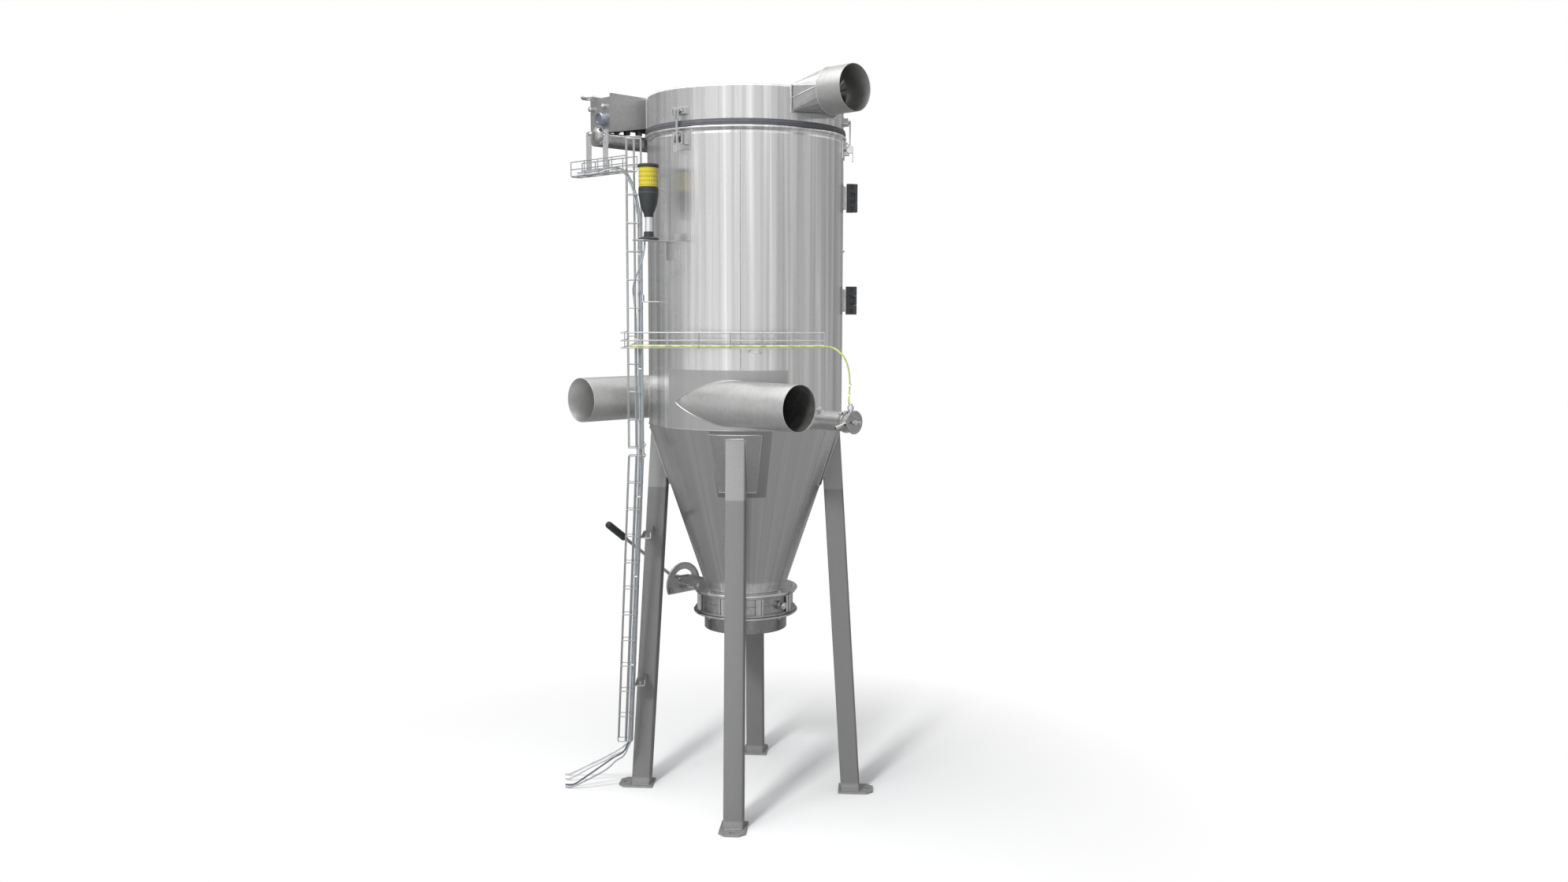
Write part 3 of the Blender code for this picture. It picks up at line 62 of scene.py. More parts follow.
BODY_LOW, BODY_HIGH = (corner[2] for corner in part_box("filter_body"))
GASKET_LOW, GASKET_HIGH = (corner[2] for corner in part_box("head_gasket"))
HEAD_LOW, HEAD_HIGH = (corner[2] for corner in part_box("head_shell"))
VALVE_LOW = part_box("valve_lower_half")[0][2]
VALVE_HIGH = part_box("valve_upper_half")[1][2]
SHAFT_Z = (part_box("valve_shaft")[0][2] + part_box("valve_shaft")[1][2]) / 2
FLANGE_R = (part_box("cone_flange")[1][0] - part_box("cone_flange")[0][0]) / 2
SPIGOT_LOW, SPIGOT_TOP = (corner[2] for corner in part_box("discharge_spigot"))
DOOR_LOW, DOOR_HIGH = (corner[2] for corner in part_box("service_door"))

# ---------------------------------------------------------------- sizes shared with the CAD
GAP = 0.0003
WALL = 0.003
PORT = 49.5                    # bearing of the outlet, the sensor and the front inlet
UNIT = PORT - 90               # bearing of the cleaning unit and the left inlet
PIPE_R, PIPE_Z, PIPE_OFFSET = 0.014, 2.535, 0.2825     # blow pipe
DUCT_R, DUCT_WALL = 0.08, 0.002
INLET_Z, INLET_OFFSET, INLET_REACH = 1.507, 0.2795, 0.5516
OUTLET_Z, OUTLET_REACH, OUTLET_START = 2.5807, 0.5363, 0.43
LEG_SIZE, LEG_FOOT_R, LEG_SPLAY = 0.07, 0.4048, math.radians(3.57)
LEG_TOP_Z, LEG_FINISH_Z = 1.382, 1.168
LEGS = (("front", 0), ("right", 90), ("back", 180), ("left", -90))
CLAMPS = (("front", -32.0), ("right", 88.0), ("back", 208.0))
HINGE_BEARING, HINGE_PIN_AT, HINGE_H = 97.0, 0.4075, 0.104
HINGES = (("upper", 2.245), ("lower", 1.868))
BEACON_BEARING, BEACON_AT, BEACON_Z = -40.0, 0.465, 2.07
TRAY_BEARING, TRAY_W, TRAY_H, TRAY_PITCH = 6.0, 0.05, 0.054, 0.1
WIRE_R = 0.0019
CABLE_END_Z = 0.206


STAND_Y = Matrix.Rotation(math.radians(90), 4, "X")    # lays a shape drawn in XY upright, in XZ
FLAT_X = Matrix.Rotation(math.radians(90), 4, "Y")     # turns Z to X
FACING = Matrix.Rotation(math.radians(90), 4, "Z") @ STAND_Y      # lays it in YZ, facing outwards
UPSIDE_DOWN = Matrix.Rotation(math.pi, 4, "X")


def at(x=0.0, y=0.0, z=0.0):
    return Matrix.Translation((x, y, z))


def between(start, end, count):
    """Even steps from start to end, both included; numbers or vectors."""
    return [start + (end - start) * (i / count) for i in range(count + 1)]


def circle(radius, count):
    """Even points round the origin, as (x, y)."""
    return [(radius * math.cos(2 * math.pi * k / count), radius * math.sin(2 * math.pi * k / count))
            for k in range(count)]


def bearing(degrees):
    angle = math.radians(degrees)
    return Vector((math.sin(angle), -math.cos(angle), 0.0))


def spot(degrees, radius=0.0, z=0.0, side=0.0):
    """X outwards along a bearing, Y towards growing bearings, Z up."""
    place = bearing(degrees) * radius + bearing(degrees + 90) * side + Vector((0, 0, z))
    return Matrix.Translation(place) @ Matrix.Rotation(math.radians(degrees - 90), 4, "Z")


def lift(z):
    return Vector((0, 0, z))


def cone_r(z):
    """Radius of the hopper at a height."""
    return R - (SEAM_Z - z) * SLOPE


def smooth(points, count):
    """Points on a Catmull-Rom curve through the route's own points."""
    spots = [Vector(point) for point in points]
    spots = [spots[0] * 2 - spots[1]] + spots + [spots[-1] * 2 - spots[-2]]
    spans = len(spots) - 3
    made = []
    for step in range(count):
        along = step / (count - 1) * spans
        span = min(int(along), spans - 1)
        u = along - span
        a, b, c, d = spots[span:span + 4]
        made.append(0.5 * (2 * b + (c - a) * u + (2 * a - 5 * b + 4 * c - d) * u * u
                           + (3 * b - a - 3 * c + d) * u ** 3))
    return made


# ---------------------------------------------------------------- camera
def camera():
    bpy.context.scene.view_settings.view_transform = "Standard"
    lens = bpy.data.cameras.new("camera")
    lens.sensor_width = 36.0
    lens.lens = 29.66
    item = bpy.data.objects.new("camera", lens)
    bpy.context.scene.collection.objects.link(item)
    turn = (Matrix.Rotation(math.radians(4.18), 4, "Z") @ Matrix.Rotation(math.radians(90 - 5.63), 4, "X")
            @ Matrix.Rotation(math.radians(0.17), 4, "Z"))
    item.matrix_world = Matrix.Translation(AXIS + Vector((0.497, -4.815, 1.819))) @ turn
    bpy.context.scene.camera = item


camera()


# ---------------------------------------------------------------- materials
class Nodes:
    """Small helper for building a material's node tree."""

    def __init__(self, name, base, roughness, metallic=0.0, **sockets):
        self.material = bpy.data.materials.new(name)
        self.material.use_nodes = True
        self.material.diffuse_color = (*base, 1)
        self.tree = self.material.node_tree
        self.shader = self.tree.nodes["Principled BSDF"]
        self.shader.inputs["Base Color"].default_value = (*base, 1)
        self.shader.inputs["Roughness"].default_value = roughness
        self.shader.inputs["Metallic"].default_value = metallic
        for socket, value in sockets.items():
            self.shader.inputs[socket.replace("_", " ")].default_value = value

    def add(self, kind, **settings):
        node = self.tree.nodes.new(kind)
        for key, value in settings.items():
            setattr(node, key, value)
        return node

    def link(self, out, into):
        self.tree.links.new(out, into)

    def feed(self, node, values, first=0):
        """Numbers go onto the node's sockets, and sockets are linked to them."""
        for index, value in enumerate(values, first):
            if isinstance(value, (int, float)):
                node.inputs[index].default_value = value
            elif isinstance(value, tuple):
                node.inputs[index].default_value = (*value, 1)
            else:
                self.link(value, node.inputs[index])

    def math(self, operation, *values, clamp=False):
        node = self.add("ShaderNodeMath", operation=operation, use_clamp=clamp)
        self.feed(node, values)
        return node.outputs[0]

    def times(self, a, b, clamp=False):
        return self.math("MULTIPLY", a, b, clamp=clamp)

    def plus(self, a, b, clamp=False):
        return self.math("ADD", a, b, clamp=clamp)

    def minus(self, a, b, clamp=False):
        return self.math("SUBTRACT", a, b, clamp=clamp)

    def coords(self):
        return self.add("ShaderNodeTexCoord").outputs["Object"]

    def place(self):
        """Position from the vessel axis, as separate x, y, z sockets."""
        shift = self.add("ShaderNodeVectorMath", operation="SUBTRACT")
        shift.inputs[1].default_value = AXIS
        self.link(self.coords(), shift.inputs[0])
        parts = self.add("ShaderNodeSeparateXYZ")
        self.link(shift.outputs[0], parts.inputs[0])
        return parts.outputs

    def round_place(self):
        """Bearing in radians, from the front towards the right, and height."""
        x, y, z = self.place()
        turn = self.math("ARCTAN2", x, self.times(y, -1.0))
        return turn, z

    def noise(self, vector, scale, detail=3.0, roughness=0.5):
        node = self.add("ShaderNodeTexNoise")
        node.inputs["Scale"].default_value = scale
        node.inputs["Detail"].default_value = detail
        node.inputs["Roughness"].default_value = roughness
        self.link(vector, node.inputs["Vector"])
        return node.outputs["Fac"]

    def vector(self, x, y, z=0.0):
        node = self.add("ShaderNodeCombineXYZ")
        self.feed(node, (x, y, z))
        return node.outputs[0]

    def streaks(self, turn, height, scales, detail, roughness):
        """Noise in bearing and height, drawn out by a scale for each."""
        across, along = scales
        place = self.vector(self.times(turn, across), self.times(height, along))
        return self.noise(place, 1.0, detail, roughness)

    def ramp(self, factor, stops):
        """Stops are (position, grey)."""
        node = self.add("ShaderNodeValToRGB")
        while len(node.color_ramp.elements) < len(stops):
            node.color_ramp.elements.new(0.5)
        for element, (position, grey) in zip(node.color_ramp.elements, stops):
            element.position = position
            element.color = (grey, grey, grey, 1)
        self.link(factor, node.inputs[0])
        return node.outputs[0]

    def mix(self, factor, a, b):
        """Colour mix; sockets 6 and 7 of the node are its colours."""
        node = self.add("ShaderNodeMix", data_type="RGBA")
        self.feed(node, (factor,))
        self.feed(node, (a, b), 6)
        return node.outputs[2]

    def bump(self, height, strength, distance, below=None):
        node = self.add("ShaderNodeBump")
        node.inputs["Strength"].default_value = strength
        node.inputs["Distance"].default_value = distance
        self.link(height, node.inputs["Height"])
        if below is not None:
            self.link(below, node.inputs["Normal"])
        return node.outputs[0]

    def colour(self, socket):
        self.link(socket, self.shader.inputs["Base Color"])

    def rough(self, socket):
        self.link(socket, self.shader.inputs["Roughness"])

    def normal(self, socket):
        self.link(socket, self.shader.inputs["Normal"])


def shade(colour, share):
    """The colour made darker or lighter, each channel up to 1."""
    return tuple(min(1.0, channel * share) for channel in colour)


def step_mask(n, value, edge, soft=0.002):
    """0 below the edge, 1 above it."""
    return n.math("DIVIDE", n.minus(value, edge - soft / 2), soft, clamp=True)


def window_mask(n, value, low, high, soft=0.002):
    return n.times(step_mask(n, value, low, soft),
                  n.minus(1.0, step_mask(n, value, high, soft)))


def rolled_steel(name, base, roughness, streak, patch):
    """Grey stainless sheet with the slight upright waves of rolled sheet in its bump, upright light and dark
    streaks of painted reflection and thin lines of painted highlight in its colour, and a patch ground dull.

    The patch runs between two bearings and two heights.
    """
    base = (base, base, base)
    n = Nodes(name, base, roughness, 1.0, Anisotropic=0.85)
    turn, height = n.round_place()
    tangent = n.add("ShaderNodeTangent", direction_type="RADIAL", axis="Z")
    n.link(tangent.outputs[0], n.shader.inputs["Tangent"])
    upright = n.streaks(turn, height, (9.0, 0.16), 6.0, 0.62)
    fine = n.streaks(turn, height, (60.0, 0.7), 3.0, 0.6)
    grain = n.streaks(turn, height, (6.0, 900.0), 2.0, 0.7)
    cloud = n.streaks(turn, height, (2.0, 3.0), 4.0, 0.6)
    # Painted reflection: this tone lightens and darkens the colour in upright streaks that stand in for
    # reflected studio lights.
    tone = n.plus(n.times(upright, 1.1), n.times(fine, 0.25))
    low = shade(base, 1 - streak * 1.6)
    high = shade(base, 1 + streak)
    colour = n.mix(n.times(n.minus(tone, 0.42), 1.8, clamp=True), low, high)
    colour = n.mix(n.times(n.minus(grain, 0.35), 0.3, clamp=True), colour,
                   shade(base, 0.62))
    # Painted highlight: thin near-white upright lines in the colour, where narrow lights would reflect.
    wave = n.streaks(turn, height, (3.6, 0.16), 3.0, 0.55)
    painted_highlight_line = n.minus(1.0, n.math("ABSOLUTE", n.times(n.minus(wave, 0.5), 11.0)),
                   clamp=True)
    colour = n.mix(n.times(n.math("POWER", painted_highlight_line, 2.0), streak * 3.4, clamp=True), colour, (0.96, 0.96, 0.96))
    rough = n.plus(roughness - 0.07, n.times(cloud, 0.14))
    sheet = n.minus(1.0, step_mask(n, height, BODY_HIGH - 0.024, 0.006))
    bump = n.bump(grain, 0.08, 0.0003)
    bump = n.bump(n.times(upright, sheet), 0.55, 0.006, bump)
    start, end, low_z, high_z = patch
    degrees = n.times(turn, 180 / math.pi)
    area = n.times(window_mask(n, degrees, start, end, 0.3), window_mask(n, height, low_z, high_z))
    mottle = n.streaks(turn, height, (90.0, 250.0), 4.0, 0.7)
    dull = n.mix(mottle, shade(base, 0.5), shade(base, 0.78))
    colour = n.mix(n.times(area, 0.85), colour, dull)
    rough = n.plus(rough, n.times(area, 0.22))
    n.colour(colour)
    n.rough(rough)
    n.normal(bump)
    return n.material


def blasted_steel(name, base, roughness, contrast=0.1, scale=55.0, metallic=1.0):
    """Satin steel with a fine even mottle; the base is a grey or a colour."""
    base = base if isinstance(base, tuple) else (base, base, base)
    n = Nodes(name, base, roughness, metallic)
    coords = n.coords()
    mottle = n.noise(coords, scale, 6.0, 0.65)
    cloud = n.noise(coords, 5.0, 4.0, 0.6)
    tone = n.plus(n.times(mottle, 0.6), n.times(cloud, 0.4))
    low = shade(base, 1 - contrast * 1.5)
    high = shade(base, 1 + contrast)
    n.colour(n.mix(n.times(n.minus(tone, 0.3), 2.4, clamp=True), low, high))
    n.rough(n.plus(roughness - 0.06, n.times(cloud, 0.12)))
    n.normal(n.bump(n.noise(coords, 900.0, 2.0), 0.12, 0.0004))
    return n.material


def leg_finish():
    """Grey matt coat, brushed lighter above the joint line and just over the feet."""
    n = Nodes("leg_finish", (0.24, 0.24, 0.24), 0.62, 0.25)
    x, y, z = n.place()
    coords = n.coords()
    speck = n.noise(coords, 260.0, 4.0, 0.7)
    cloud = n.noise(coords, 4.0, 4.0, 0.6)
    brushing = n.noise(n.vector(n.times(x, 30), n.times(y, 30), n.times(z, 500)),
                       1.0, 3.0, 0.7)
    coat = n.mix(speck, (0.15, 0.15, 0.151), (0.2, 0.2, 0.2))
    coat = n.mix(n.times(cloud, 0.5), coat, (0.165, 0.165, 0.165))
    bright = n.mix(brushing, (0.2, 0.2, 0.2), (0.3, 0.3, 0.3))
    upper = step_mask(n, z, LEG_FINISH_Z, 0.003)
    lower = n.minus(1.0, step_mask(n, z, 0.036, 0.01))
    area = n.plus(upper, lower, clamp=True)
    n.colour(n.mix(area, coat, bright))
    n.rough(n.minus(0.66, n.times(area, 0.14)))
    n.normal(n.bump(speck, 0.1, 0.0005))
    return n.material


def moulded(name, base, roughness, speckle=0.25, **sockets):
    """Moulded plastic or rubber with a fine grain."""
    n = Nodes(name, base, roughness, 0.0, **sockets)
    coords = n.coords()
    grain = n.noise(coords, 700.0, 3.0, 0.6)
    cloud = n.noise(coords, 30.0, 4.0, 0.6)
    n.colour(n.mix(cloud, shade(base, 1 - speckle),
                   shade(base, 1 + speckle)))
    n.rough(n.plus(roughness - 0.05, n.times(grain, 0.1)))
    n.normal(n.bump(grain, 0.15, 0.0003))
    return n.material


def lens_plastic():
    """Clear yellow lens: the inside shows as darker upright prisms."""
    n = Nodes("lens_plastic", (0.45, 0.38, 0.01), 0.12, 0.0, Coat_Weight=0.6)
    x, y, z = n.place()
    middle = bearing(BEACON_BEARING) * BEACON_AT
    turn = n.math("ARCTAN2", n.minus(x, middle.x), n.minus(y, middle.y))
    prism = n.math("SINE", n.times(turn, 44.0))
    band = n.math("SINE", n.times(z, 420.0))
    pattern = n.plus(n.times(prism, 0.28), n.times(band, 0.16))
    n.colour(n.mix(n.plus(pattern, 0.5, clamp=True), (0.19, 0.16, 0.004), (0.58, 0.49, 0.02)))
    n.normal(n.bump(prism, 0.5, 0.0015))
    return n.material


def striped_sheath():
    """Green sheath with a yellow stripe winding round the cable."""
    n = Nodes("earth_sheath", (0.5, 0.58, 0.2), 0.5)
    x, y, z = n.place()
    along = n.plus(n.times(x, 95.0), n.times(z, 95.0))
    wave = n.math("SINE", n.plus(along, n.times(y, 400.0)))
    n.colour(n.mix(step_mask(n, wave, 0.1, 0.5), (0.56, 0.53, 0.17), (0.36, 0.44, 0.12)))
    return n.material


FINISHES = {                   # material, and the slot it fills
    "vessel": (rolled_steel("vessel_steel", 0.69, 0.27, 0.19, (-43.5, 30.4, 1.4, 1.622)), "brushed_steel"),
    "cone": (rolled_steel("cone_steel", 0.68, 0.28, 0.06, (-15, 21, 1.165, 1.42)), "brushed_steel"),
    # Painted shade for the inside of the front inlet.
    "painted_duct_shade": (blasted_steel("painted_duct_shade_steel", (0.16, 0.16, 0.155), 0.62, 0.35, 35.0, 0.6), "duct_steel"),
    "outlet": (blasted_steel("outlet_steel", (0.48, 0.48, 0.475), 0.42), "duct_steel"),
    "spigot": (blasted_steel("spigot_steel", 0.36, 0.3, 0.24, 60.0), "duct_steel"),
    "unit": (blasted_steel("unit_steel", 0.4, 0.5, 0.08, 80.0), "duct_steel"),
    "duct": (blasted_steel("duct_steel", (0.66, 0.66, 0.655), 0.46), "duct_steel"),
    "fitting": (blasted_steel("fitting_steel", (0.49, 0.49, 0.485), 0.3, 0.24, 90.0), "duct_steel"),
    "pad": (blasted_steel("pad_steel", 0.46, 0.42, 0.1, 120.0), "brushed_steel"),
    "hood": (blasted_steel("hood_steel", 0.36, 0.38, 0.16, 60.0), "duct_steel"),
    "weld_dull": (blasted_steel("foot_bead", 0.42, 0.46, 0.25, 240.0), "leg_steel"),
    "blue_steel": (blasted_steel("coupling_metal", (0.42, 0.44, 0.5), 0.34, 0.2, 160.0), "duct_steel"),
    "tube": (blasted_steel("anodised_tube", (0.8, 0.81, 0.83), 0.42, 0.05, 60.0), "aluminium"),
    "tie": (moulded("tie_nylon", (0.78, 0.8, 0.78), 0.45, 0.08), "grey_cable"),
    "plate": (blasted_steel("plate_steel", 0.68, 0.3, 0.12, 30.0), "brushed_steel"),
    "weld": (blasted_steel("weld_bead", (0.72, 0.71, 0.69), 0.36, 0.35, 240.0), "brushed_steel"),
    "bright": (blasted_steel("bright_steel", 0.8, 0.2, 0.08, 60.0), "brushed_steel"),
    "wire": (blasted_steel("tray_wire", (0.54, 0.545, 0.55), 0.38, 0.12, 120.0), "zinc_wire"),
    "leg": (leg_finish(), "leg_steel"),
    "gasket": (moulded("gasket_rubber", (0.066, 0.068, 0.076), 0.5), "gasket_rubber"),
    "black": (moulded("black_polyamide", (0.016, 0.019, 0.019), 0.42), "black_plastic"),
    "hinge": (moulded("hinge_polyamide", (0.048, 0.05, 0.056), 0.48), "black_plastic"),
    "lens": (lens_plastic(), "amber_lens"),
    "felt": (moulded("filter_felt", (0.8, 0.79, 0.75), 0.9), "filter_fleece"),
    "grey_cable": (moulded("grey_sheath", (0.24, 0.27, 0.3), 0.45), "grey_cable"),
    "light_cable": (moulded("light_sheath", (0.42, 0.43, 0.44), 0.45), "grey_cable"),
    "dark_cable": (moulded("dark_sheath", (0.07, 0.075, 0.085), 0.45), "black_plastic"),
    "earth": (striped_sheath(), "earth_cable"),
    "copper": (blasted_steel("copper_core", (0.72, 0.46, 0.32), 0.35), "earth_cable"),
}


# ---------------------------------------------------------------- shapes
class Shape:
    """Mesh under construction in the vessel frame; solids are added and it then becomes one piece."""

    def __init__(self):
        self.bm = bmesh.new()

    def box(self, size, centre=(0, 0, 0), place=Matrix()):
        shape = place @ Matrix.Translation(centre) @ Matrix.Diagonal((*size, 1))
        bmesh.ops.create_cube(self.bm, size=1, matrix=shape)
        return self

    def rod(self, radius, start, end, place=Matrix(), sides=24, tip=None):
        start, end = Vector(start), Vector(end)
        turn = (end - start).to_track_quat("Z", "Y").to_matrix().to_4x4()
        middle = place @ Matrix.Translation((start + end) / 2) @ turn
        bmesh.ops.create_cone(self.bm, cap_ends=True, segments=sides, radius1=radius,
                              radius2=radius if tip is None else tip, depth=(end - start).length, matrix=middle)
        return self

    def axle(self, radius, start, end, place=Matrix(), sides=24, y=0.0, z=0.0):
        """Rod along X."""
        return self.rod(radius, (start, y, z), (end, y, z), place, sides)

    def lathe(self, profile, place=Matrix(), steps=96, sweep=360.0, start=0.0):
        """Closed (radius, height) profile turned about Z; points on the axis share one vertex."""
        full = abs(sweep - 360.0) < 0.001
        rows = steps if full else steps + 1
        rings = []
        for radius, z in profile:
            if radius < 1e-6:
                rings.append([self.bm.verts.new(place @ Vector((0, 0, z)))] * rows)
                continue
            angles = [math.radians(start + sweep * i / steps) for i in range(rows)]
            rings.append([self.bm.verts.new(place @ Vector((radius * math.cos(a), radius * math.sin(a), z)))
                          for a in angles])
        count = len(profile)
        for i in range(count):
            a, b = rings[i], rings[(i + 1) % count]
            if a[0] is a[1] and b[0] is b[1]:
                continue
            for k in range(steps):
                m = (k + 1) % rows
                corners = []
                for vert in (a[k], a[m], b[m], b[k]):
                    if vert not in corners:
                        corners.append(vert)
                self.bm.faces.new(corners)
        if not full:
            self.bm.faces.new([ring[0] for ring in rings])
            self.bm.faces.new([ring[-1] for ring in rings][::-1])
        return self

    def plate(self, outline, thickness, place=Matrix()):
        """Flat outline in XY, thickened evenly about that plane."""
        layers = [[self.bm.verts.new(place @ Vector((x, y, z))) for x, y in outline]
                  for z in (-thickness / 2, thickness / 2)]
        self.bm.faces.new(layers[0][::-1])
        self.bm.faces.new(layers[1])
        for i in range(len(outline)):
            j = (i + 1) % len(outline)
            self.bm.faces.new((layers[0][i], layers[0][j], layers[1][j], layers[1][i]))
        return self

    def bar(self, points, radius, sides=8, closed=False):
        """Round wire along points, its section carried along without twist."""
        points = [Vector(point) for point in points]
        count = len(points)
        side = None
        rings = []
        for i, point in enumerate(points):
            before = points[i - 1] if i or closed else point
            after = points[(i + 1) % count] if i < count - 1 or closed else point
            ahead = (after - before).normalized()
            if side is None:
                side = ahead.orthogonal().normalized()
            side = (side - ahead * side.dot(ahead)).normalized()
            up = ahead.cross(side)
            rings.append([self.bm.verts.new(point + side * radius * math.cos(a) + up * radius * math.sin(a))
                          for a in (2 * math.pi * k / sides for k in range(sides))])
        for i in range(count if closed else count - 1):
            a, b = rings[i], rings[(i + 1) % count]
            for k in range(sides):
                m = (k + 1) % sides
                self.bm.faces.new((a[k], a[m], b[m], b[k]))
        if not closed:
            self.bm.faces.new(rings[0][::-1])
            self.bm.faces.new(rings[-1])
        return self

    def bolt(self, place, radius=0.0065, height=0.005, washer=0.0012):
        """Hexagon head on a washer, standing up along Z of its place."""
        self.rod(radius * 1.45, (0, 0, 0), (0, 0, washer), place, 24)
        self.rod(radius, (0, 0, washer), (0, 0, washer + height), place, 6)
        self.rod(radius * 0.55, (0, 0, washer + height), (0, 0, washer + height + 0.002), place, 16)
        return self

    def mesh(self, name):
        bmesh.ops.transform(self.bm, matrix=Matrix.Translation(AXIS), verts=self.bm.verts)
        bmesh.ops.recalc_face_normals(self.bm, faces=self.bm.faces)
        mesh = bpy.data.meshes.new(name)
        self.bm.to_mesh(mesh)
        self.bm.free()
        return mesh

    def piece(self, name, finish, body="vessel", replaces=(), sharp=35, bevel=0.0, cutters=(), keep=()):
        """Make the object, cut it, round its edges, and tie it to its body."""
        item = bpy.data.objects.new(name, self.mesh(name))
        bpy.context.scene.collection.objects.link(item)
        for operation, tools in (("DIFFERENCE", cutters), ("INTERSECT", keep)):
            for tool in tools:
                apply_boolean(item, tool, operation)
        item.data.shade_smooth()
        item.data.set_sharp_from_angle(angle=math.radians(sharp))
        if bevel:
            rounding = item.modifiers.new("rounding", "BEVEL")
            rounding.width = bevel
            rounding.segments = 2
            rounding.limit_method = "ANGLE"
            rounding.angle_limit = math.radians(40)
            rounding.harden_normals = True
        material, slot = FINISHES[finish]
        item.data.materials.clear()
        item.data.materials.append(material)
        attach(item, body)
        if replaces:
            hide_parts(*replaces)
        return item


def loose_parts(mesh):
    """The separate closed shells of a mesh, each as its own mesh."""
    neighbours = [[] for _ in mesh.vertices]
    for edge in mesh.edges:
        a, b = edge.vertices
        neighbours[a].append(b)
        neighbours[b].append(a)
    shell_of = [-1] * len(mesh.vertices)
    count = 0
    for start in range(len(shell_of)):
        if shell_of[start] >= 0:
            continue
        shell_of[start] = count
        waiting = [start]
        while waiting:
            for other in neighbours[waiting.pop()]:
                if shell_of[other] < 0:
                    shell_of[other] = count
                    waiting.append(other)
        count += 1
    corners, faces, place = [[] for _ in range(count)], [[] for _ in range(count)], {}
    for index, vertex in enumerate(mesh.vertices):
        place[index] = len(corners[shell_of[index]])
        corners[shell_of[index]].append(vertex.co)
    for face in mesh.polygons:
        faces[shell_of[face.vertices[0]]].append([place[v] for v in face.vertices])
    parts = []
    for own_corners, own_faces in zip(corners, faces):
        part = bpy.data.meshes.new("part")
        part.from_pydata(own_corners, [], own_faces)
        parts.append(part)
    return parts


def apply_boolean(item, tool, operation):
    """Cut each shell of the piece by itself, because shells that cross each other upset the solver."""
    other = bpy.data.objects.new("tool", tool.mesh("tool"))
    bpy.context.scene.collection.objects.link(other)
    whole = bmesh.new()
    for part in loose_parts(item.data):
        one = bpy.data.objects.new("one", part)
        bpy.context.scene.collection.objects.link(one)
        made = one.modifiers.new("cut", "BOOLEAN")
        made.operation = operation
        made.object = other
        made.solver = "EXACT"
        bpy.context.view_layer.update()
        ready = one.evaluated_get(bpy.context.evaluated_depsgraph_get())
        mesh = bpy.data.meshes.new_from_object(ready)
        clean = bmesh.new()
        clean.from_mesh(mesh)
        bmesh.ops.remove_doubles(clean, verts=clean.verts, dist=0.000004)
        bmesh.ops.dissolve_degenerate(clean, edges=clean.edges, dist=0.000004)
        clean.to_mesh(mesh)
        clean.free()
        whole.from_mesh(mesh)
        bpy.data.meshes.remove(mesh)
        bpy.data.objects.remove(one, do_unlink=True)
        bpy.data.meshes.remove(part)
    whole.to_mesh(item.data)
    whole.free()
    bpy.data.objects.remove(other, do_unlink=True)


def arc(cx, cy, radius, start, end, steps):
    """Points of an arc, both ends included; angles in degrees from +X."""
    angles = between(math.radians(start), math.radians(end), steps)
    return [(cx + radius * math.cos(a), cy + radius * math.sin(a)) for a in angles]


def rounded_rectangle(width, height, radius, steps=4):
    a, b = width / 2 - radius, height / 2 - radius
    made = []
    for cx, cy, start in ((a, b, 0), (-a, b, 90), (-a, -b, 180), (a, -b, 270)):
        made += arc(cx, cy, radius, start, start + 90, steps)
    return made


def round_normals(item):
    """Normals of a rolled sheet with holes: those of the true cylinder, so that its facets don't show."""
    mesh = item.data
    normals = []
    for face in mesh.polygons:
        middle = face.center - AXIS
        out = Vector((middle.x, middle.y, 0)).normalized()
        facing = out.dot(face.normal)
        for index in face.loop_indices:
            place = mesh.vertices[mesh.loops[index].vertex_index].co - AXIS
            radial = Vector((place.x, place.y, 0)).normalized()
            if abs(facing) > 0.985:
                normals.append(radial if facing > 0 else -radial)
            else:
                normals.append(face.normal.copy())
    mesh.normals_split_custom_set(normals)


# ---------------------------------------------------------------- free leads
LEAD_TOP = (-0.4315, -0.1002)
LEADS = (                      # offset in the bundle, then the route below it
    ("light_cable", (-0.0036, 0.0036), (
        (-0.449, -0.092, 0.1865), (-0.466, -0.085, 0.17), (-0.5022, -0.07, 0.1441), (-0.5562, -0.035, 0.1047),
        (-0.6078, 0.000, 0.0703), (-0.668, 0.035, 0.03), (-0.705, 0.058, 0.0075), (-0.724, 0.068, 0.0033))),
    ("light_cable", (0.0036, 0.0036), (
        (-0.442, -0.0955, 0.176), (-0.462, -0.0935, 0.158), (-0.4987, -0.08, 0.1384), (-0.5297, -0.065, 0.1135),
        (-0.5942, -0.04, 0.0743), (-0.6575, -0.01, 0.03), (-0.693, 0.008, 0.007), (-0.7111, 0.016, 0.0033))),
    ("dark_cable", (-0.0036, -0.0036), (
        (-0.457, -0.103, 0.16), (-0.4967, -0.092, 0.133), (-0.5389, -0.086, 0.101), (-0.615, -0.072, 0.043),
        (-0.655, -0.058, 0.013), (-0.682, -0.047, 0.0045), (-0.697, -0.0405, 0.0033))),
    ("grey_cable", (0.0036, -0.0036), (
        (-0.452, -0.111, 0.15), (-0.4838, -0.107, 0.1264), (-0.5231, -0.107, 0.0903), (-0.5891, -0.1, 0.05),
        (-0.6425, -0.086, 0.019), (-0.673, -0.075, 0.005), (-0.6917, -0.066, 0.0033))),
)
CABLE_R = 0.003


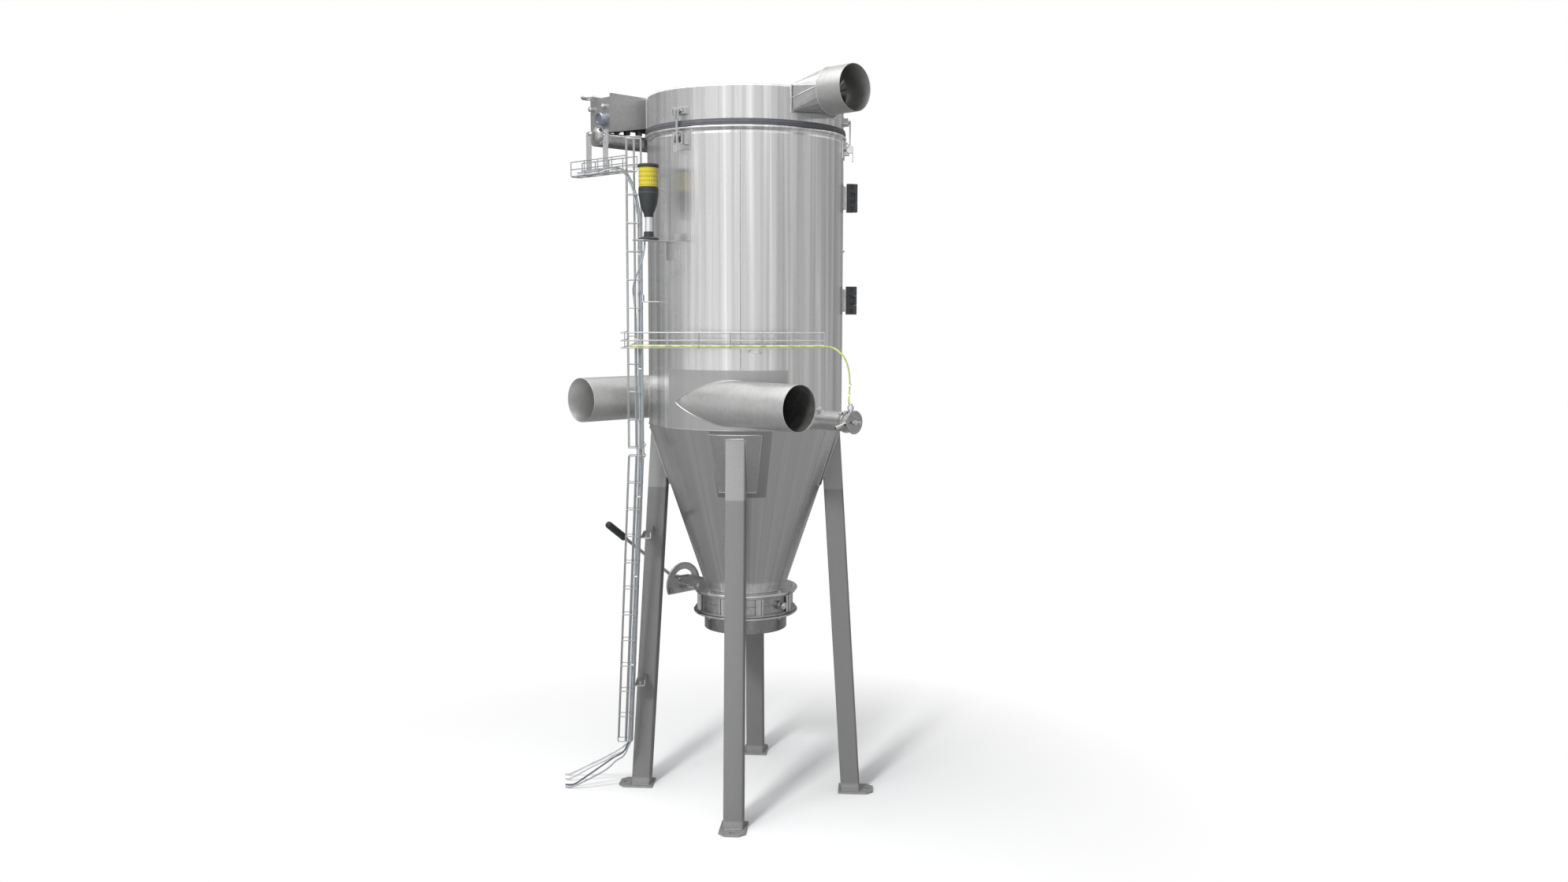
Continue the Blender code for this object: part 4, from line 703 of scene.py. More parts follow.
def leads():
    for index, (finish, (dx, dy), rest) in enumerate(LEADS):
        x, y = LEAD_TOP[0] + dx, LEAD_TOP[1] + dy
        top = CABLE_END_Z - GAP - 0.001
        points = smooth([(x, y, top), (x - 0.004, y, top - 0.012), *rest], 70)
        ahead = (points[-1] - points[-2]).normalized()
        points[-1] = points[-1] - ahead * 0.0032
        curve = bpy.data.curves.new(f"lead_line_{index + 1}", "CURVE")
        curve.dimensions = "3D"
        curve.bevel_depth = CABLE_R
        curve.bevel_resolution = 4
        curve.use_fill_caps = True
        spline = curve.splines.new("POLY")
        spline.points.add(len(points) - 1)
        for target, point in zip(spline.points, points):
            target.co = (*(point + AXIS), 1)
        item = bpy.data.objects.new(f"free_lead_{index + 1}", curve)
        bpy.context.scene.collection.objects.link(item)
        material, slot = FINISHES[finish]
        curve.materials.append(material)
        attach(item, "vessel")
        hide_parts(f"lead_{index + 1}")
        core = Shape().rod(0.0011, points[-1] - ahead * 0.004, points[-1] + ahead * 0.0028, sides=10)
        tip = core.piece(f"lead_core_{index + 1}", "copper")


leads()


# ---------------------------------------------------------------- studio
def stage_piece(name, mesh, material):
    item = bpy.data.objects.new(name, mesh)
    bpy.context.scene.collection.objects.link(item)
    mesh.materials.append(material)
    return item


def white_rays(tree):
    """1 for camera, glossy and transmission rays."""
    path = tree.nodes.new("ShaderNodeLightPath")
    total = path.outputs["Is Camera Ray"]
    for kind in ("Is Glossy Ray", "Is Transmission Ray"):
        node = tree.nodes.new("ShaderNodeMath")
        node.operation = "MAXIMUM"
        tree.links.new(total, node.inputs[0])
        tree.links.new(path.outputs[kind], node.inputs[1])
        total = node.outputs[0]
    return total


AMBIENT = 0.5                 # strength of the world's light


def world():
    made = bpy.data.worlds.new("world")
    made.use_nodes = True
    tree = made.node_tree
    ambient = tree.nodes["Background"]
    ambient.inputs["Color"].default_value = (0.97, 0.985, 1.0, 1)
    ambient.inputs["Strength"].default_value = AMBIENT
    white = tree.nodes.new("ShaderNodeBackground")
    white.inputs["Color"].default_value = (1, 1, 1, 1)
    mix = tree.nodes.new("ShaderNodeMixShader")
    tree.links.new(white_rays(tree), mix.inputs[0])
    tree.links.new(ambient.outputs[0], mix.inputs[1])
    tree.links.new(white.outputs[0], mix.inputs[2])
    tree.links.new(mix.outputs[0], tree.nodes["World Output"].inputs["Surface"])
    bpy.context.scene.world = made


def floor():
    """Pale floor that keeps the shadow near the machine and runs into the white background."""
    n = Nodes("studio_floor", (0.86, 0.86, 0.86), 0.9, 0.0, Specular_IOR_Level=0.0)
    glow = n.add("ShaderNodeEmission")
    coords = n.coords()
    reach = n.add("ShaderNodeVectorMath", operation="LENGTH")
    n.link(coords, reach.inputs[0])
    far = n.math("DIVIDE", n.minus(reach.outputs["Value"], 0.6), 1.2, clamp=True)
    mix = n.add("ShaderNodeMixShader")
    n.link(n.times(far, white_rays(n.tree)), mix.inputs[0])
    n.link(n.shader.outputs[0], mix.inputs[1])
    n.link(glow.outputs[0], mix.inputs[2])
    n.link(mix.outputs[0], n.tree.nodes["Material Output"].inputs["Surface"])
    bm = bmesh.new()
    bmesh.ops.create_circle(bm, cap_ends=True, segments=96, radius=60)
    mesh = bpy.data.meshes.new("studio_floor")
    bm.to_mesh(mesh)
    bm.free()
    stage_piece("studio_floor", mesh, n.material)


# Brightness of the screens round the studio that the metal mirrors: bearing, grey.
SCREEN = ((-180, 0.3), (-165, 0.06), (-150, 0.12), (-132, 0.3), (-112, 0.36), (-96, 0.24), (-86, 0.3),
          (-76, 0.8), (-66, 0.55), (-57, 0.45), (-46, 0.92), (-20, 1.05), (20, 0.95), (36, 0.72), (50, 0.46),
          (64, 0.52), (76, 0.62), (90, 0.48), (104, 0.52), (120, 0.42), (140, 0.36), (160, 0.4), (180, 0.3))


def screens():
    """Curved screen and floor mat that only reflections see."""
    n = Nodes("studio_screen", (0, 0, 0), 1.0)
    turn, _ = n.round_place()
    share = n.plus(n.times(turn, 0.5 / math.pi), 0.5)
    grey = n.ramp(share, [((degrees + 180) / 360, value) for degrees, value in SCREEN])
    glow = n.add("ShaderNodeEmission")
    n.link(grey, glow.inputs["Color"])
    n.link(glow.outputs[0], n.tree.nodes["Material Output"].inputs["Surface"])
    shape = Shape()
    shape.lathe([(3.4, -0.5), (3.45, -0.5), (3.45, 3.6), (3.4, 3.6)])
    wall = stage_piece("studio_screen", shape.mesh("studio_screen"), n.material)
    dark = Nodes("studio_mat", (0, 0, 0), 1.0)
    shade = dark.add("ShaderNodeEmission")
    shade.inputs["Color"].default_value = (0.34, 0.34, 0.345, 1)
    dark.link(shade.outputs[0], dark.tree.nodes["Material Output"].inputs["Surface"])
    mat = stage_piece("studio_mat", Shape().lathe([(0, -0.004), (3.4, -0.004), (3.4, -0.002), (0, -0.002)])
                      .mesh("studio_mat"), dark.material)
    mat.location.z = 0.003
    for item in (wall, mat):
        item.visible_camera = False
        item.visible_diffuse = False
        item.visible_shadow = False
        item.visible_transmission = False


def lamp(name, place, aim, size, power):
    data = bpy.data.lights.new(name, "AREA")
    data.shape = "RECTANGLE"
    data.size, data.size_y = size
    data.energy = power
    item = bpy.data.objects.new(name, data)
    bpy.context.scene.collection.objects.link(item)
    item.location = Vector(place)
    item.rotation_euler = (Vector(aim) - item.location).to_track_quat("-Z", "Y").to_euler()
    return item


world()
floor()
screens()
key = lamp("key_light", (-1.5, -4.4, 3.9), (0.1, 0.1, 0.5), (0.7, 0.7), 230)
key.visible_glossy = False
lamp("top_light", (-0.8, -0.9, 4.6), (0.1, 0.0, 1.0), (2.6, 2.6), 60)
lamp("front_light", (-2.6, -3.6, 2.8), (0, 0, 1.2), (1.6, 2.4), 60)


# ---------------------------------------------------------------- vessel
STEPS = 192
DUCT_SPOTS = [spot(degrees, z=INLET_Z, side=-INLET_OFFSET) for degrees in (PORT, UNIT)]
RIM_W, RIM_H = 0.0046, 0.012   # rolled ring at the body's open top
SHEET_SEAMS = ((3.1, BODY_LOW + 0.212, BODY_HIGH - 0.02), (-36.0, HEAD_LOW + 0.004, HEAD_HIGH - 0.01))
CONE_SEAM = 60                 # bearing of the hopper's own seam


def wedge(start, end, low, high, reach=0.6):
    """Slice of a cylinder between two bearings, for a cutter."""
    edge = [(bearing(degrees) * reach).to_2d() for degrees in between(start, end, 12)]
    return Shape().plate([(0, 0), *edge], high - low, at(0, 0, (low + high) / 2))


def core(radius, low=0.5, high=3.0, steps=STEPS):
    """Cylinder on the vessel's axis, for a cutter."""
    return Shape().lathe([(0, low), (radius, low), (radius, high), (0, high)], steps=steps)


def weld_ring(name, radius, z, size):
    """Low bead round the vessel, with the ripples of the weld pool."""
    points = []
    for i, (x, y) in enumerate(circle(1, 720)):
        reach = radius + size * (1 + 0.12 * math.sin(i * 2.1)) * 0.1
        points.append((x * reach, y * reach, z))
    Shape().bar(points, size, 6, closed=True).piece(name, "weld")


def seam(shape, start, end, size=0.0016):
    """Weld bead between two points, laid half into the sheet."""
    shape.bar(between(start, end, 120), size, 6)


def vessel():
    top = BODY_HIGH
    profile = [(R, BODY_LOW), (R, top - RIM_H - 0.006),
               *arc(R + RIM_W, top - RIM_H / 2 - 0.0003, 0.0057, -105, 90, 12),
               (R + 0.001, top), (R - WALL, top), (R - WALL, BODY_LOW)]
    bores = [Shape().axle(DUCT_R - DUCT_WALL, 0.09, 0.4, place, 64) for place in DUCT_SPOTS]
    opening = wedge(103, 149, DOOR_LOW + 0.03, DOOR_HIGH - 0.03)
    round_normals(Shape().lathe(profile, steps=STEPS).piece(
        "body_shell", "vessel", replaces=["filter_body"], cutters=[*bores, opening]))
    drop = WALL * math.sqrt(1 + SLOPE ** 2)
    Shape().lathe([(R, SEAM_Z), (NECK_R, NECK_Z), (NECK_R - drop, NECK_Z), (R - drop, SEAM_Z)],
                  steps=STEPS).piece("hopper_shell", "cone", replaces=["hopper_cone"])
    weld_ring("girth_weld", R, (SEAM_Z + BODY_LOW) / 2, 0.002)
    weld_ring("neck_weld", NECK_R + 0.001, NECK_Z + 0.002, 0.0028)
    Shape().bolt(spot(93.0, R - 0.0006, 2.05) @ FLAT_X, 0.006).piece("side_plug", "bright")
    welds = Shape()
    for degrees, low, high in SHEET_SEAMS:
        out = bearing(degrees) * (R - 0.0007)
        seam(welds, out + lift(low), out + lift(high))
    welds.bar([bearing(CONE_SEAM) * (cone_r(z) - 0.0007) + lift(z) for z in between(NECK_Z, SEAM_Z, 80)],
              0.0015, 6)
    welds.piece("sheet_seams", "weld_dull")


def gasket_and_head():
    mid, lip = (GASKET_LOW + GASKET_HIGH) / 2, R + 0.0065
    Shape().lathe([(R - WALL, GASKET_LOW), (lip, GASKET_LOW), *arc(lip - 0.001, mid, 0.003, -70, 70, 8),
                   (lip, GASKET_HIGH), (R - WALL, GASKET_HIGH)], steps=STEPS).piece(
        "head_seal", "gasket", replaces=["head_gasket"])
    bend = 0.01
    profile = [(0, HEAD_HIGH), *arc(R - bend, HEAD_HIGH - bend, bend, 90, 0, 8), (R, HEAD_LOW + 0.003),
               (R - 0.0006, HEAD_LOW), (R - WALL, HEAD_LOW),
               *arc(R - bend, HEAD_HIGH - bend, bend - WALL, 0, 90, 8), (0, HEAD_HIGH - WALL)]
    window = Shape().box((0.2, 0.206, 0.074), (0.35, 0, 2.552), spot(PORT))
    pipe = Shape().axle(PIPE_R + 0.0005, 0.1, 0.4, spot(UNIT, z=PIPE_Z, side=-PIPE_OFFSET), 32)
    round_normals(Shape().lathe(profile, steps=STEPS).piece(
        "head_cover", "vessel", replaces=["head_shell"], cutters=[window, pipe]))


# ---------------------------------------------------------------- discharge valve and lever
SHAFT_R, SHAFT_BORE = 0.0125, 0.0128
HOUSING_R, BARREL_R, FLANGE_T = 0.1903, 0.1745, 0.008
EDGE = 0.0012                  # bevel of turned rims
SHAFT = spot(PORT + 180, z=SHAFT_Z)


def bore(place, radius=SHAFT_BORE, half=0.25, sides=32):
    """Cutter for a round hole along X."""
    return Shape().axle(radius, -half, half, place, sides)


def valve_half(name, plain, flanged):
    """Half of the housing: a barrel with its bolting flange at one end."""
    up = 1 if flanged > plain else -1
    lip, edge, rim = 0.0075 * up, EDGE * up, HOUSING_R
    profile = [(NECK_R, plain), (BARREL_R - 0.001, plain), (BARREL_R, plain + edge), (BARREL_R, flanged - lip),
               (rim - 0.0013, flanged - lip), (rim, flanged - lip + edge), (rim, flanged - edge),
               (rim - 0.0013, flanged), (NECK_R, flanged)]
    Shape().lathe(profile, steps=144).piece(name.replace("valve", "housing"), "fitting", replaces=[name],
                                            cutters=[bore(SHAFT)])


def valve():
    flange_low, flange_high = (corner[2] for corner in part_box("cone_flange"))
    Shape().lathe([(NECK_R, flange_low), (FLANGE_R - EDGE, flange_low), (FLANGE_R, flange_low + EDGE),
                   (FLANGE_R, flange_high - EDGE), (FLANGE_R - EDGE, flange_high), (NECK_R, flange_high)],
                  steps=144).piece("neck_flange", "plate", replaces=["cone_flange"])
    valve_half("valve_upper_half", SHAFT_Z + GAP / 2, VALVE_HIGH)
    valve_half("valve_lower_half", SHAFT_Z - GAP / 2, VALVE_LOW)
    ties, bolts = Shape(), Shape()
    for index in range(8):
        for side in (-0.011, 0.011):
            ties.rod(0.0045, (0, 0, VALVE_LOW + 0.002), (0, 0, VALVE_HIGH - 0.002),
                     spot(22.5 + index * 45, 0.1815, side=side), 16)
        ties.box((0.006, 0.013, VALVE_HIGH - VALVE_LOW - 0.014), (0.1765, 0, SHAFT_Z), spot(22.5 + index * 45))
        bolts.bolt(spot(index * 45 + 4.0, 0.181, flange_high), 0.0075, 0.0055)
        bolts.bolt(spot(index * 45 + 4.0, 0.181, SPIGOT_TOP - FLANGE_T) @ UPSIDE_DOWN, 0.0075, 0.0055)
    ties.piece("valve_ties", "plate")
    bolts.piece("flange_bolts", "bright", bevel=0.0004)
    bush = Shape()
    for degrees in (PORT, PORT + 180):
        bush.axle(0.0165, 0.17, 0.1905, spot(degrees, z=SHAFT_Z), 40)
    bush.piece("shaft_bushes", "fitting", bevel=0.0012, cutters=[bore(spot(PORT, z=SHAFT_Z))])
    inside, outside, under = 0.1531, 0.1556, SPIGOT_TOP - FLANGE_T
    Shape().lathe([(FLANGE_R, SPIGOT_TOP - EDGE), (FLANGE_R, under + EDGE), (FLANGE_R - EDGE, under),
                   (outside + 0.003, under), (outside, under - 0.003), (outside, SPIGOT_LOW),
                   (inside, SPIGOT_LOW), (inside, SPIGOT_TOP), (FLANGE_R - EDGE, SPIGOT_TOP)],
                  steps=144).piece("spigot", "spigot", replaces=["discharge_spigot"])
    # Painted highlights: thin bright bands round the flange edges stand in for light caught on their rounded
    # rims.
    rims = Shape()
    for top in (flange_high, SPIGOT_TOP):
        rims.lathe([(FLANGE_R - 0.001, top - 0.0072), (FLANGE_R + 0.0004, top - 0.0064),
                    (FLANGE_R + 0.0004, top - 0.0016), (FLANGE_R - 0.001, top - 0.0008)], steps=144)
    rims.piece("flange_highlight_rims", "bright")


def moving_valve():
    half = [(0, 0.004), (0.06, 0.004), (0.072, 0.0032), (0.1465, 0.0032), (0.1485, 0.0015)]
    disc = Shape().lathe([*half, *((radius, -z) for radius, z in reversed(half))], SHAFT, 96)
    disc.piece("flap_disc", "fitting", "butterfly", ["valve_disc"], cutters=[bore(SHAFT, half=0.3)])
    Shape().axle(0.0185, -0.12, 0.12, SHAFT, 48).piece(
        "flap_hub", "fitting", "butterfly", bevel=0.001, cutters=[bore(SHAFT, half=0.3)])
    shaft = Shape().axle(SHAFT_R, -0.206, 0.392, SHAFT, 40)
    shaft.bolt(SHAFT @ at(-0.206) @ FLAT_X @ UPSIDE_DOWN, 0.0065, 0.004)
    shaft.piece("flap_shaft", "bright", "butterfly", ["valve_shaft"], bevel=0.0004)
    arm = SHAFT @ at(0.38) @ Matrix.Rotation(math.radians(37.7), 4, "X")
    lever = Shape().axle(0.0235, -0.009, 0.009, arm, 48)
    lever.box((0.01, 0.03, 0.022), (0, 0.028, 0), arm)
    lever.rod(0.0065, (0, 0.036, 0), (0, 0.449, 0), arm, 24)
    lever.rod(0.0085, (0, 0.34, 0), (0, 0.3515, 0), arm, 6)
    lever.piece("hand_lever", "bright", "butterfly", ["valve_lever"], bevel=0.0012,
                cutters=[bore(arm, half=0.05)])
    grip = [(0, 0.352), (0.0115, 0.352), (0.0135, 0.355)]
    for z in between(0.361, 0.361 + 8 * 0.0094, 8):
        grip += [(0.0137, z), (0.014, z + 0.0035), (0.0137, z + 0.007), (0.0129, z + 0.0082)]
    grip += [(0.0135, 0.451), (0.0115, 0.4555), (0.006, 0.457), (0, 0.457)]
    Shape().lathe(grip, arm @ Matrix.Rotation(math.radians(-90), 4, "X"), 48).piece(
        "hand_grip", "black", "butterfly", ["lever_grip"], sharp=60)


def quadrant():
    face = SHAFT @ at(0.363) @ FACING
    disc = Shape().plate(arc(0, 0, 0.085, -25, 205, 60), 0.006, face)
    window = Shape().plate(arc(0, 0, 0.058, 35, 145, 30) + arc(0, 0, 0.027, 145, 35, 20), 0.03, face)
    room = Shape().axle(SHAFT_BORE + 0.0007, 0.1, 0.5, SHAFT, 32)
    disc.piece("quadrant_plate", "duct", replaces=["lock_quadrant"], bevel=0.0012, cutters=[window, room])
    rim = Shape().bar([face @ Vector((x, y, -0.0035)) for x, y in arc(0, 0, 0.0825, -22, 202, 60)], 0.003, 8)
    rim.axle(0.021, 0.338, 0.3705, SHAFT, 40)
    for side in (-0.066, 0.066):
        rim.axle(0.0105, 0.352, 0.3705, SHAFT, 24, side, -0.02)
    rim.axle(0.0045, 0.35, 0.375, SHAFT, 16, 0.028, 0.034)
    rim.piece("quadrant_bosses", "fitting", bevel=0.001,
              cutters=[Shape().axle(SHAFT_BORE + 0.0002, 0.1, 0.5, SHAFT, 32)])
    arm = Shape().plate([(0.196, -0.032), (0.25, -0.027), (0.355, -0.02), (0.36, 0.02), (0.25, 0.027),
                         (0.196, 0.032)], 0.006, SHAFT @ at(0, 0, 0.0325))
    for side in (-1, 1):
        arm.plate([(0.2, -0.013), (0.201, 0.016), (0.355, 0.016), (0.357, -0.008), (0.3, -0.013)], 0.004,
                  SHAFT @ at(0, side * 0.0175, 0.0165) @ STAND_Y)
    for side in (0.03, -0.03):
        arm.rod(0.008, (0.205, side, 0.0355), (0.205, side, 0.0415), SHAFT, 6)
    arm.piece("quadrant_bracket", "fitting", bevel=0.0009, cutters=[core(FLANGE_R + GAP, 0.5, 1.0, 96)])


# ---------------------------------------------------------------- legs
PAD_TOP, PAD_LOW, PAD_TOP_W, PAD_LOW_W, PAD_T = 1.396, 1.185, 0.186, 0.134, 0.003
FOOT_NEAR, FOOT_FAR, FOOT_HALF_W, FOOT_T, FOOT_CLIP = 0.358, 0.49, 0.048, 0.008, 0.022
ANCHOR_AT, ANCHOR_R = 0.466, 0.009


def cone_core(growth, low=1.0, high=SEAM_Z - 0.0001):
    """Cutter with the hopper's slope, grown by a distance."""
    return Shape().lathe([(0, low), (cone_r(low) + growth, low), (cone_r(high) + growth, high), (0, high)],
                         steps=STEPS)


def on_cone(degrees, side, z, growth):
    out = math.sqrt((cone_r(z) + growth) ** 2 - side ** 2)
    return spot(degrees) @ Vector((out, side, z))


def leg_tube(tag, degrees):
    place = spot(degrees, LEG_FOOT_R) @ Matrix.Rotation(-LEG_SPLAY, 4, "Y") @ at(0, 0, 0.7)
    ends = [Shape().box((0.3, 0.3, 0.5), (0, 0, middle), spot(degrees, LEG_FOOT_R))
            for middle in (LEG_TOP_Z + 0.25, FOOT_T + GAP - 0.25)]
    side = LEG_SIZE - 0.006
    hollow = Shape().plate(rounded_rectangle(side, side, 0.004), 1.8, place)
    Shape().plate(rounded_rectangle(LEG_SIZE, LEG_SIZE, 0.0065), 1.6, place).piece(
        f"leg_tube_{tag}", "leg", replaces=[f"leg_{tag}"], cutters=[hollow, *ends, cone_core(GAP + 0.001)])


def leg_pad(tag, degrees):
    """Reinforcing sheet: a thick outline cut and kept by two slopes."""
    half = (PAD_TOP - PAD_LOW) / 2
    face = spot(degrees, 0.3, (PAD_TOP + PAD_LOW) / 2) @ FACING
    outline = ((-PAD_LOW_W / 2, -half), (PAD_LOW_W / 2, -half), (PAD_TOP_W / 2, half), (-PAD_TOP_W / 2, half))
    Shape().plate(outline, 0.25, face).piece(f"leg_pad_{tag}", "pad", cutters=[cone_core(GAP)],
                                             keep=[cone_core(GAP + PAD_T)], sharp=20)


def leg_welds(tag, degrees):
    beads = Shape()
    for width, z, size in ((PAD_TOP_W, PAD_TOP, 0.003), (PAD_LOW_W, PAD_LOW, 0.0022)):
        beads.bar([on_cone(degrees, side, z, PAD_T * 0.7) + lift(0.0006 * math.sin(k * 1.9))
                   for k, side in enumerate(between(-width / 2, width / 2, 60))], size, 6)
    for side in (-1, 1):
        slope = zip(between(PAD_TOP_W / 2, PAD_LOW_W / 2, 80), between(PAD_TOP, PAD_LOW, 80))
        beads.bar([on_cone(degrees, side * y, z, PAD_T * 0.6) for y, z in slope], 0.0018, 6)
    crown = LEG_FOOT_R - LEG_TOP_Z * math.tan(LEG_SPLAY) + 0.0345
    beads.bar([spot(degrees) @ Vector((crown, y, LEG_TOP_Z + 0.0005 + 0.0005 * math.sin(y * 900)))
               for y in between(-0.03, 0.03, 40)], 0.003, 6)
    for side in (-0.0362, 0.0362):
        beads.bar([on_cone(degrees, side, z, PAD_T + 0.001)
                   for z in between(LEG_TOP_Z - 0.002, LEG_TOP_Z - 0.177, 60)], 0.0026, 6)
    beads.piece(f"leg_welds_{tag}", "weld")


def leg_foot(tag, degrees):
    half, wide, clip = (FOOT_FAR - FOOT_NEAR) / 2, FOOT_HALF_W, FOOT_CLIP
    sole = Shape().plate(((-half, -wide), (half - clip, -wide), (half, clip - wide), (half, wide - clip),
                          (half - clip, wide), (-half, wide)), FOOT_T,
                         spot(degrees, (FOOT_NEAR + FOOT_FAR) / 2, FOOT_T / 2))
    hole = Shape().rod(ANCHOR_R, (ANCHOR_AT, 0, -0.02), (ANCHOR_AT, 0, 0.04), spot(degrees), 32)
    sole.piece(f"foot_plate_{tag}", "leg", replaces=[f"foot_{tag}"], cutters=[hole], bevel=0.0012)
    line = [spot(degrees, LEG_FOOT_R) @ Vector((x * 1.03, y * 1.03, FOOT_T + 0.001))
            for x, y in rounded_rectangle(LEG_SIZE, LEG_SIZE, 0.008, 6)]
    Shape().bar(line, 0.0024, 6, closed=True).piece(f"foot_weld_{tag}", "weld_dull")


def legs():
    for tag, degrees in LEGS:
        for make in (leg_tube, leg_pad, leg_welds, leg_foot):
            make(tag, degrees)


# ---------------------------------------------------------------- ducts
BASE_AT, BASE_W, BASE_LOW, BASE_HIGH = 0.33, 0.224, 2.507, 2.5965
DUCT_INNER = DUCT_R - DUCT_WALL


def duct(start, end):
    """Profile of a duct whose mouth has a rounded edge."""
    return [(DUCT_INNER, start), (DUCT_R, start), (DUCT_R, end - 0.0006), (DUCT_R - 0.0005, end),
            (DUCT_INNER + 0.0004, end), (DUCT_INNER, end - 0.0006)]


def duct_weld(shape, place):
    """Bead along the line where an inlet meets the body."""
    points = []
    for k, (y, z) in enumerate(circle(DUCT_R + 0.0005, 300)):
        out = math.sqrt(max((R + 0.0005) ** 2 - (y - INLET_OFFSET) ** 2, 0.0002))
        points.append(place @ Vector((out + 0.0006 * math.sin(k * 2.3), y, z)))
    shape.bar(points, 0.0024, 6, closed=True)


def inlet(name, place, welds):
    Shape().lathe(duct(0.045, INLET_REACH), place @ FLAT_X, 128).piece(
        name + "_duct", "duct", replaces=[name], cutters=[core(R + GAP)])
    duct_weld(welds, place)


def inlet_lining(place):
    """Dark film inside the duct that the camera looks into: painted shade on the duct's inside."""
    inner, outer, mouth = DUCT_INNER - 0.0012, DUCT_INNER - 0.0002, INLET_REACH - 0.004
    # Painted shade: a dark sheet laid just inside the front duct's wall.
    Shape().lathe([(inner, 0.05), (outer, 0.05), (outer, mouth), (inner, mouth)], place @ FLAT_X, 96).piece(
        "front_inlet_lining", "painted_duct_shade", cutters=[core(R + GAP)])


def inlets():
    welds = Shape()
    front, left = DUCT_SPOTS
    inlet("front_inlet", front, welds)
    inlet_lining(front)
    inlet("left_inlet", left, welds)
    welds.piece("inlet_welds", "weld")


def transition(shrink, back):
    """Rectangle to circle along X, folded into flat faces as on a press brake."""
    half_w = BASE_W / 2 - shrink
    low, high = BASE_LOW + shrink - OUTLET_Z, BASE_HIGH - shrink - OUTLET_Z
    radius, sides = DUCT_R - shrink, 24
    front = OUTLET_START - GAP - (0.001 if shrink else 0)
    corners = ((half_w, high), (-half_w, high), (-half_w, low), (half_w, low))
    angles = [2 * math.pi * (i + 0.5) / sides for i in range(sides)]
    rings = [[(front, radius * math.cos(a), radius * math.sin(a)) for a in angles]]
    rings += [[(x, *corners[i * 4 // sides]) for i in range(sides)] for x in (BASE_AT, back)]
    shape = Shape()
    rows = [[shape.bm.verts.new(spot(PORT, z=OUTLET_Z) @ Vector(point)) for point in ring] for ring in rings]
    for i in range(sides):
        j = (i + 1) % sides
        for a, b in ((rows[1], rows[0]), (rows[2], rows[1])):
            shape.bm.faces.new((a[i], a[j], b[j], b[i]))
    shape.bm.faces.new(rows[0])
    shape.bm.faces.new(rows[2])
    bmesh.ops.remove_doubles(shape.bm, verts=shape.bm.verts, dist=0.00001)
    bmesh.ops.dissolve_degenerate(shape.bm, edges=shape.bm.edges, dist=0.00001)
    return shape


def outlet():
    place = spot(PORT, z=OUTLET_Z)
    mouth = Shape().axle(DUCT_INNER, OUTLET_START - 0.003, OUTLET_START + 0.02, place, 48)
    transition(0, 0.29).piece("outlet_hood", "hood", replaces=["outlet_transition"], sharp=3,
                              cutters=[transition(DUCT_WALL, 0.2), mouth, core(R + GAP)])
    Shape().lathe(duct(OUTLET_START, OUTLET_REACH), place @ FLAT_X, 128).piece(
        "outlet_duct", "outlet", replaces=["outlet_tube"])
    welds = Shape()
    half = BASE_W / 2
    corners = ((-half, BASE_LOW), (-half, BASE_HIGH), (half, BASE_HIGH), (half, BASE_LOW), (-half, BASE_LOW))
    line = [point for a, b in zip(corners, corners[1:]) for point in between(Vector(a), Vector(b), 40)[:-1]]
    welds.bar([spot(PORT) @ Vector((math.sqrt((R + 0.001) ** 2 - y * y) + 0.0008 * math.sin(k * 1.7), y, z))
               for k, (y, z) in enumerate(line)], 0.003, 6, closed=True)
    bead = 0.0014
    welds.bar([place @ Vector((OUTLET_START, y, min(z, DUCT_R - bead - 0.0001)))
               for y, z in circle(DUCT_R + 0.0002, 160)], bead, 6, closed=True)
    for side in (-1, 1):
        start = place @ Vector((BASE_AT + 0.004, side * half, (BASE_LOW + BASE_HIGH) / 2 - OUTLET_Z))
        seam(welds, start, place @ Vector((OUTLET_START - 0.001, side * DUCT_R, 0.006)), 0.002)
    welds.piece("outlet_welds", "weld")


# ---------------------------------------------------------------- filter inside
PLEATS, PLEAT_OUT, PLEAT_IN, PLEAT_BORE = 72, 0.1295, 0.1, 0.0865


def pleat_ring(shape, z):
    """Folded outer line and round inner line of the cartridge at a height."""
    rays = circle(1, PLEATS * 2)
    reaches = [PLEAT_OUT if k % 2 else PLEAT_IN for k in range(len(rays))]
    return ([shape.bm.verts.new((x * reach, y * reach, z)) for (x, y), reach in zip(rays, reaches)],
            [shape.bm.verts.new((x * PLEAT_BORE, y * PLEAT_BORE, z)) for x, y in rays])


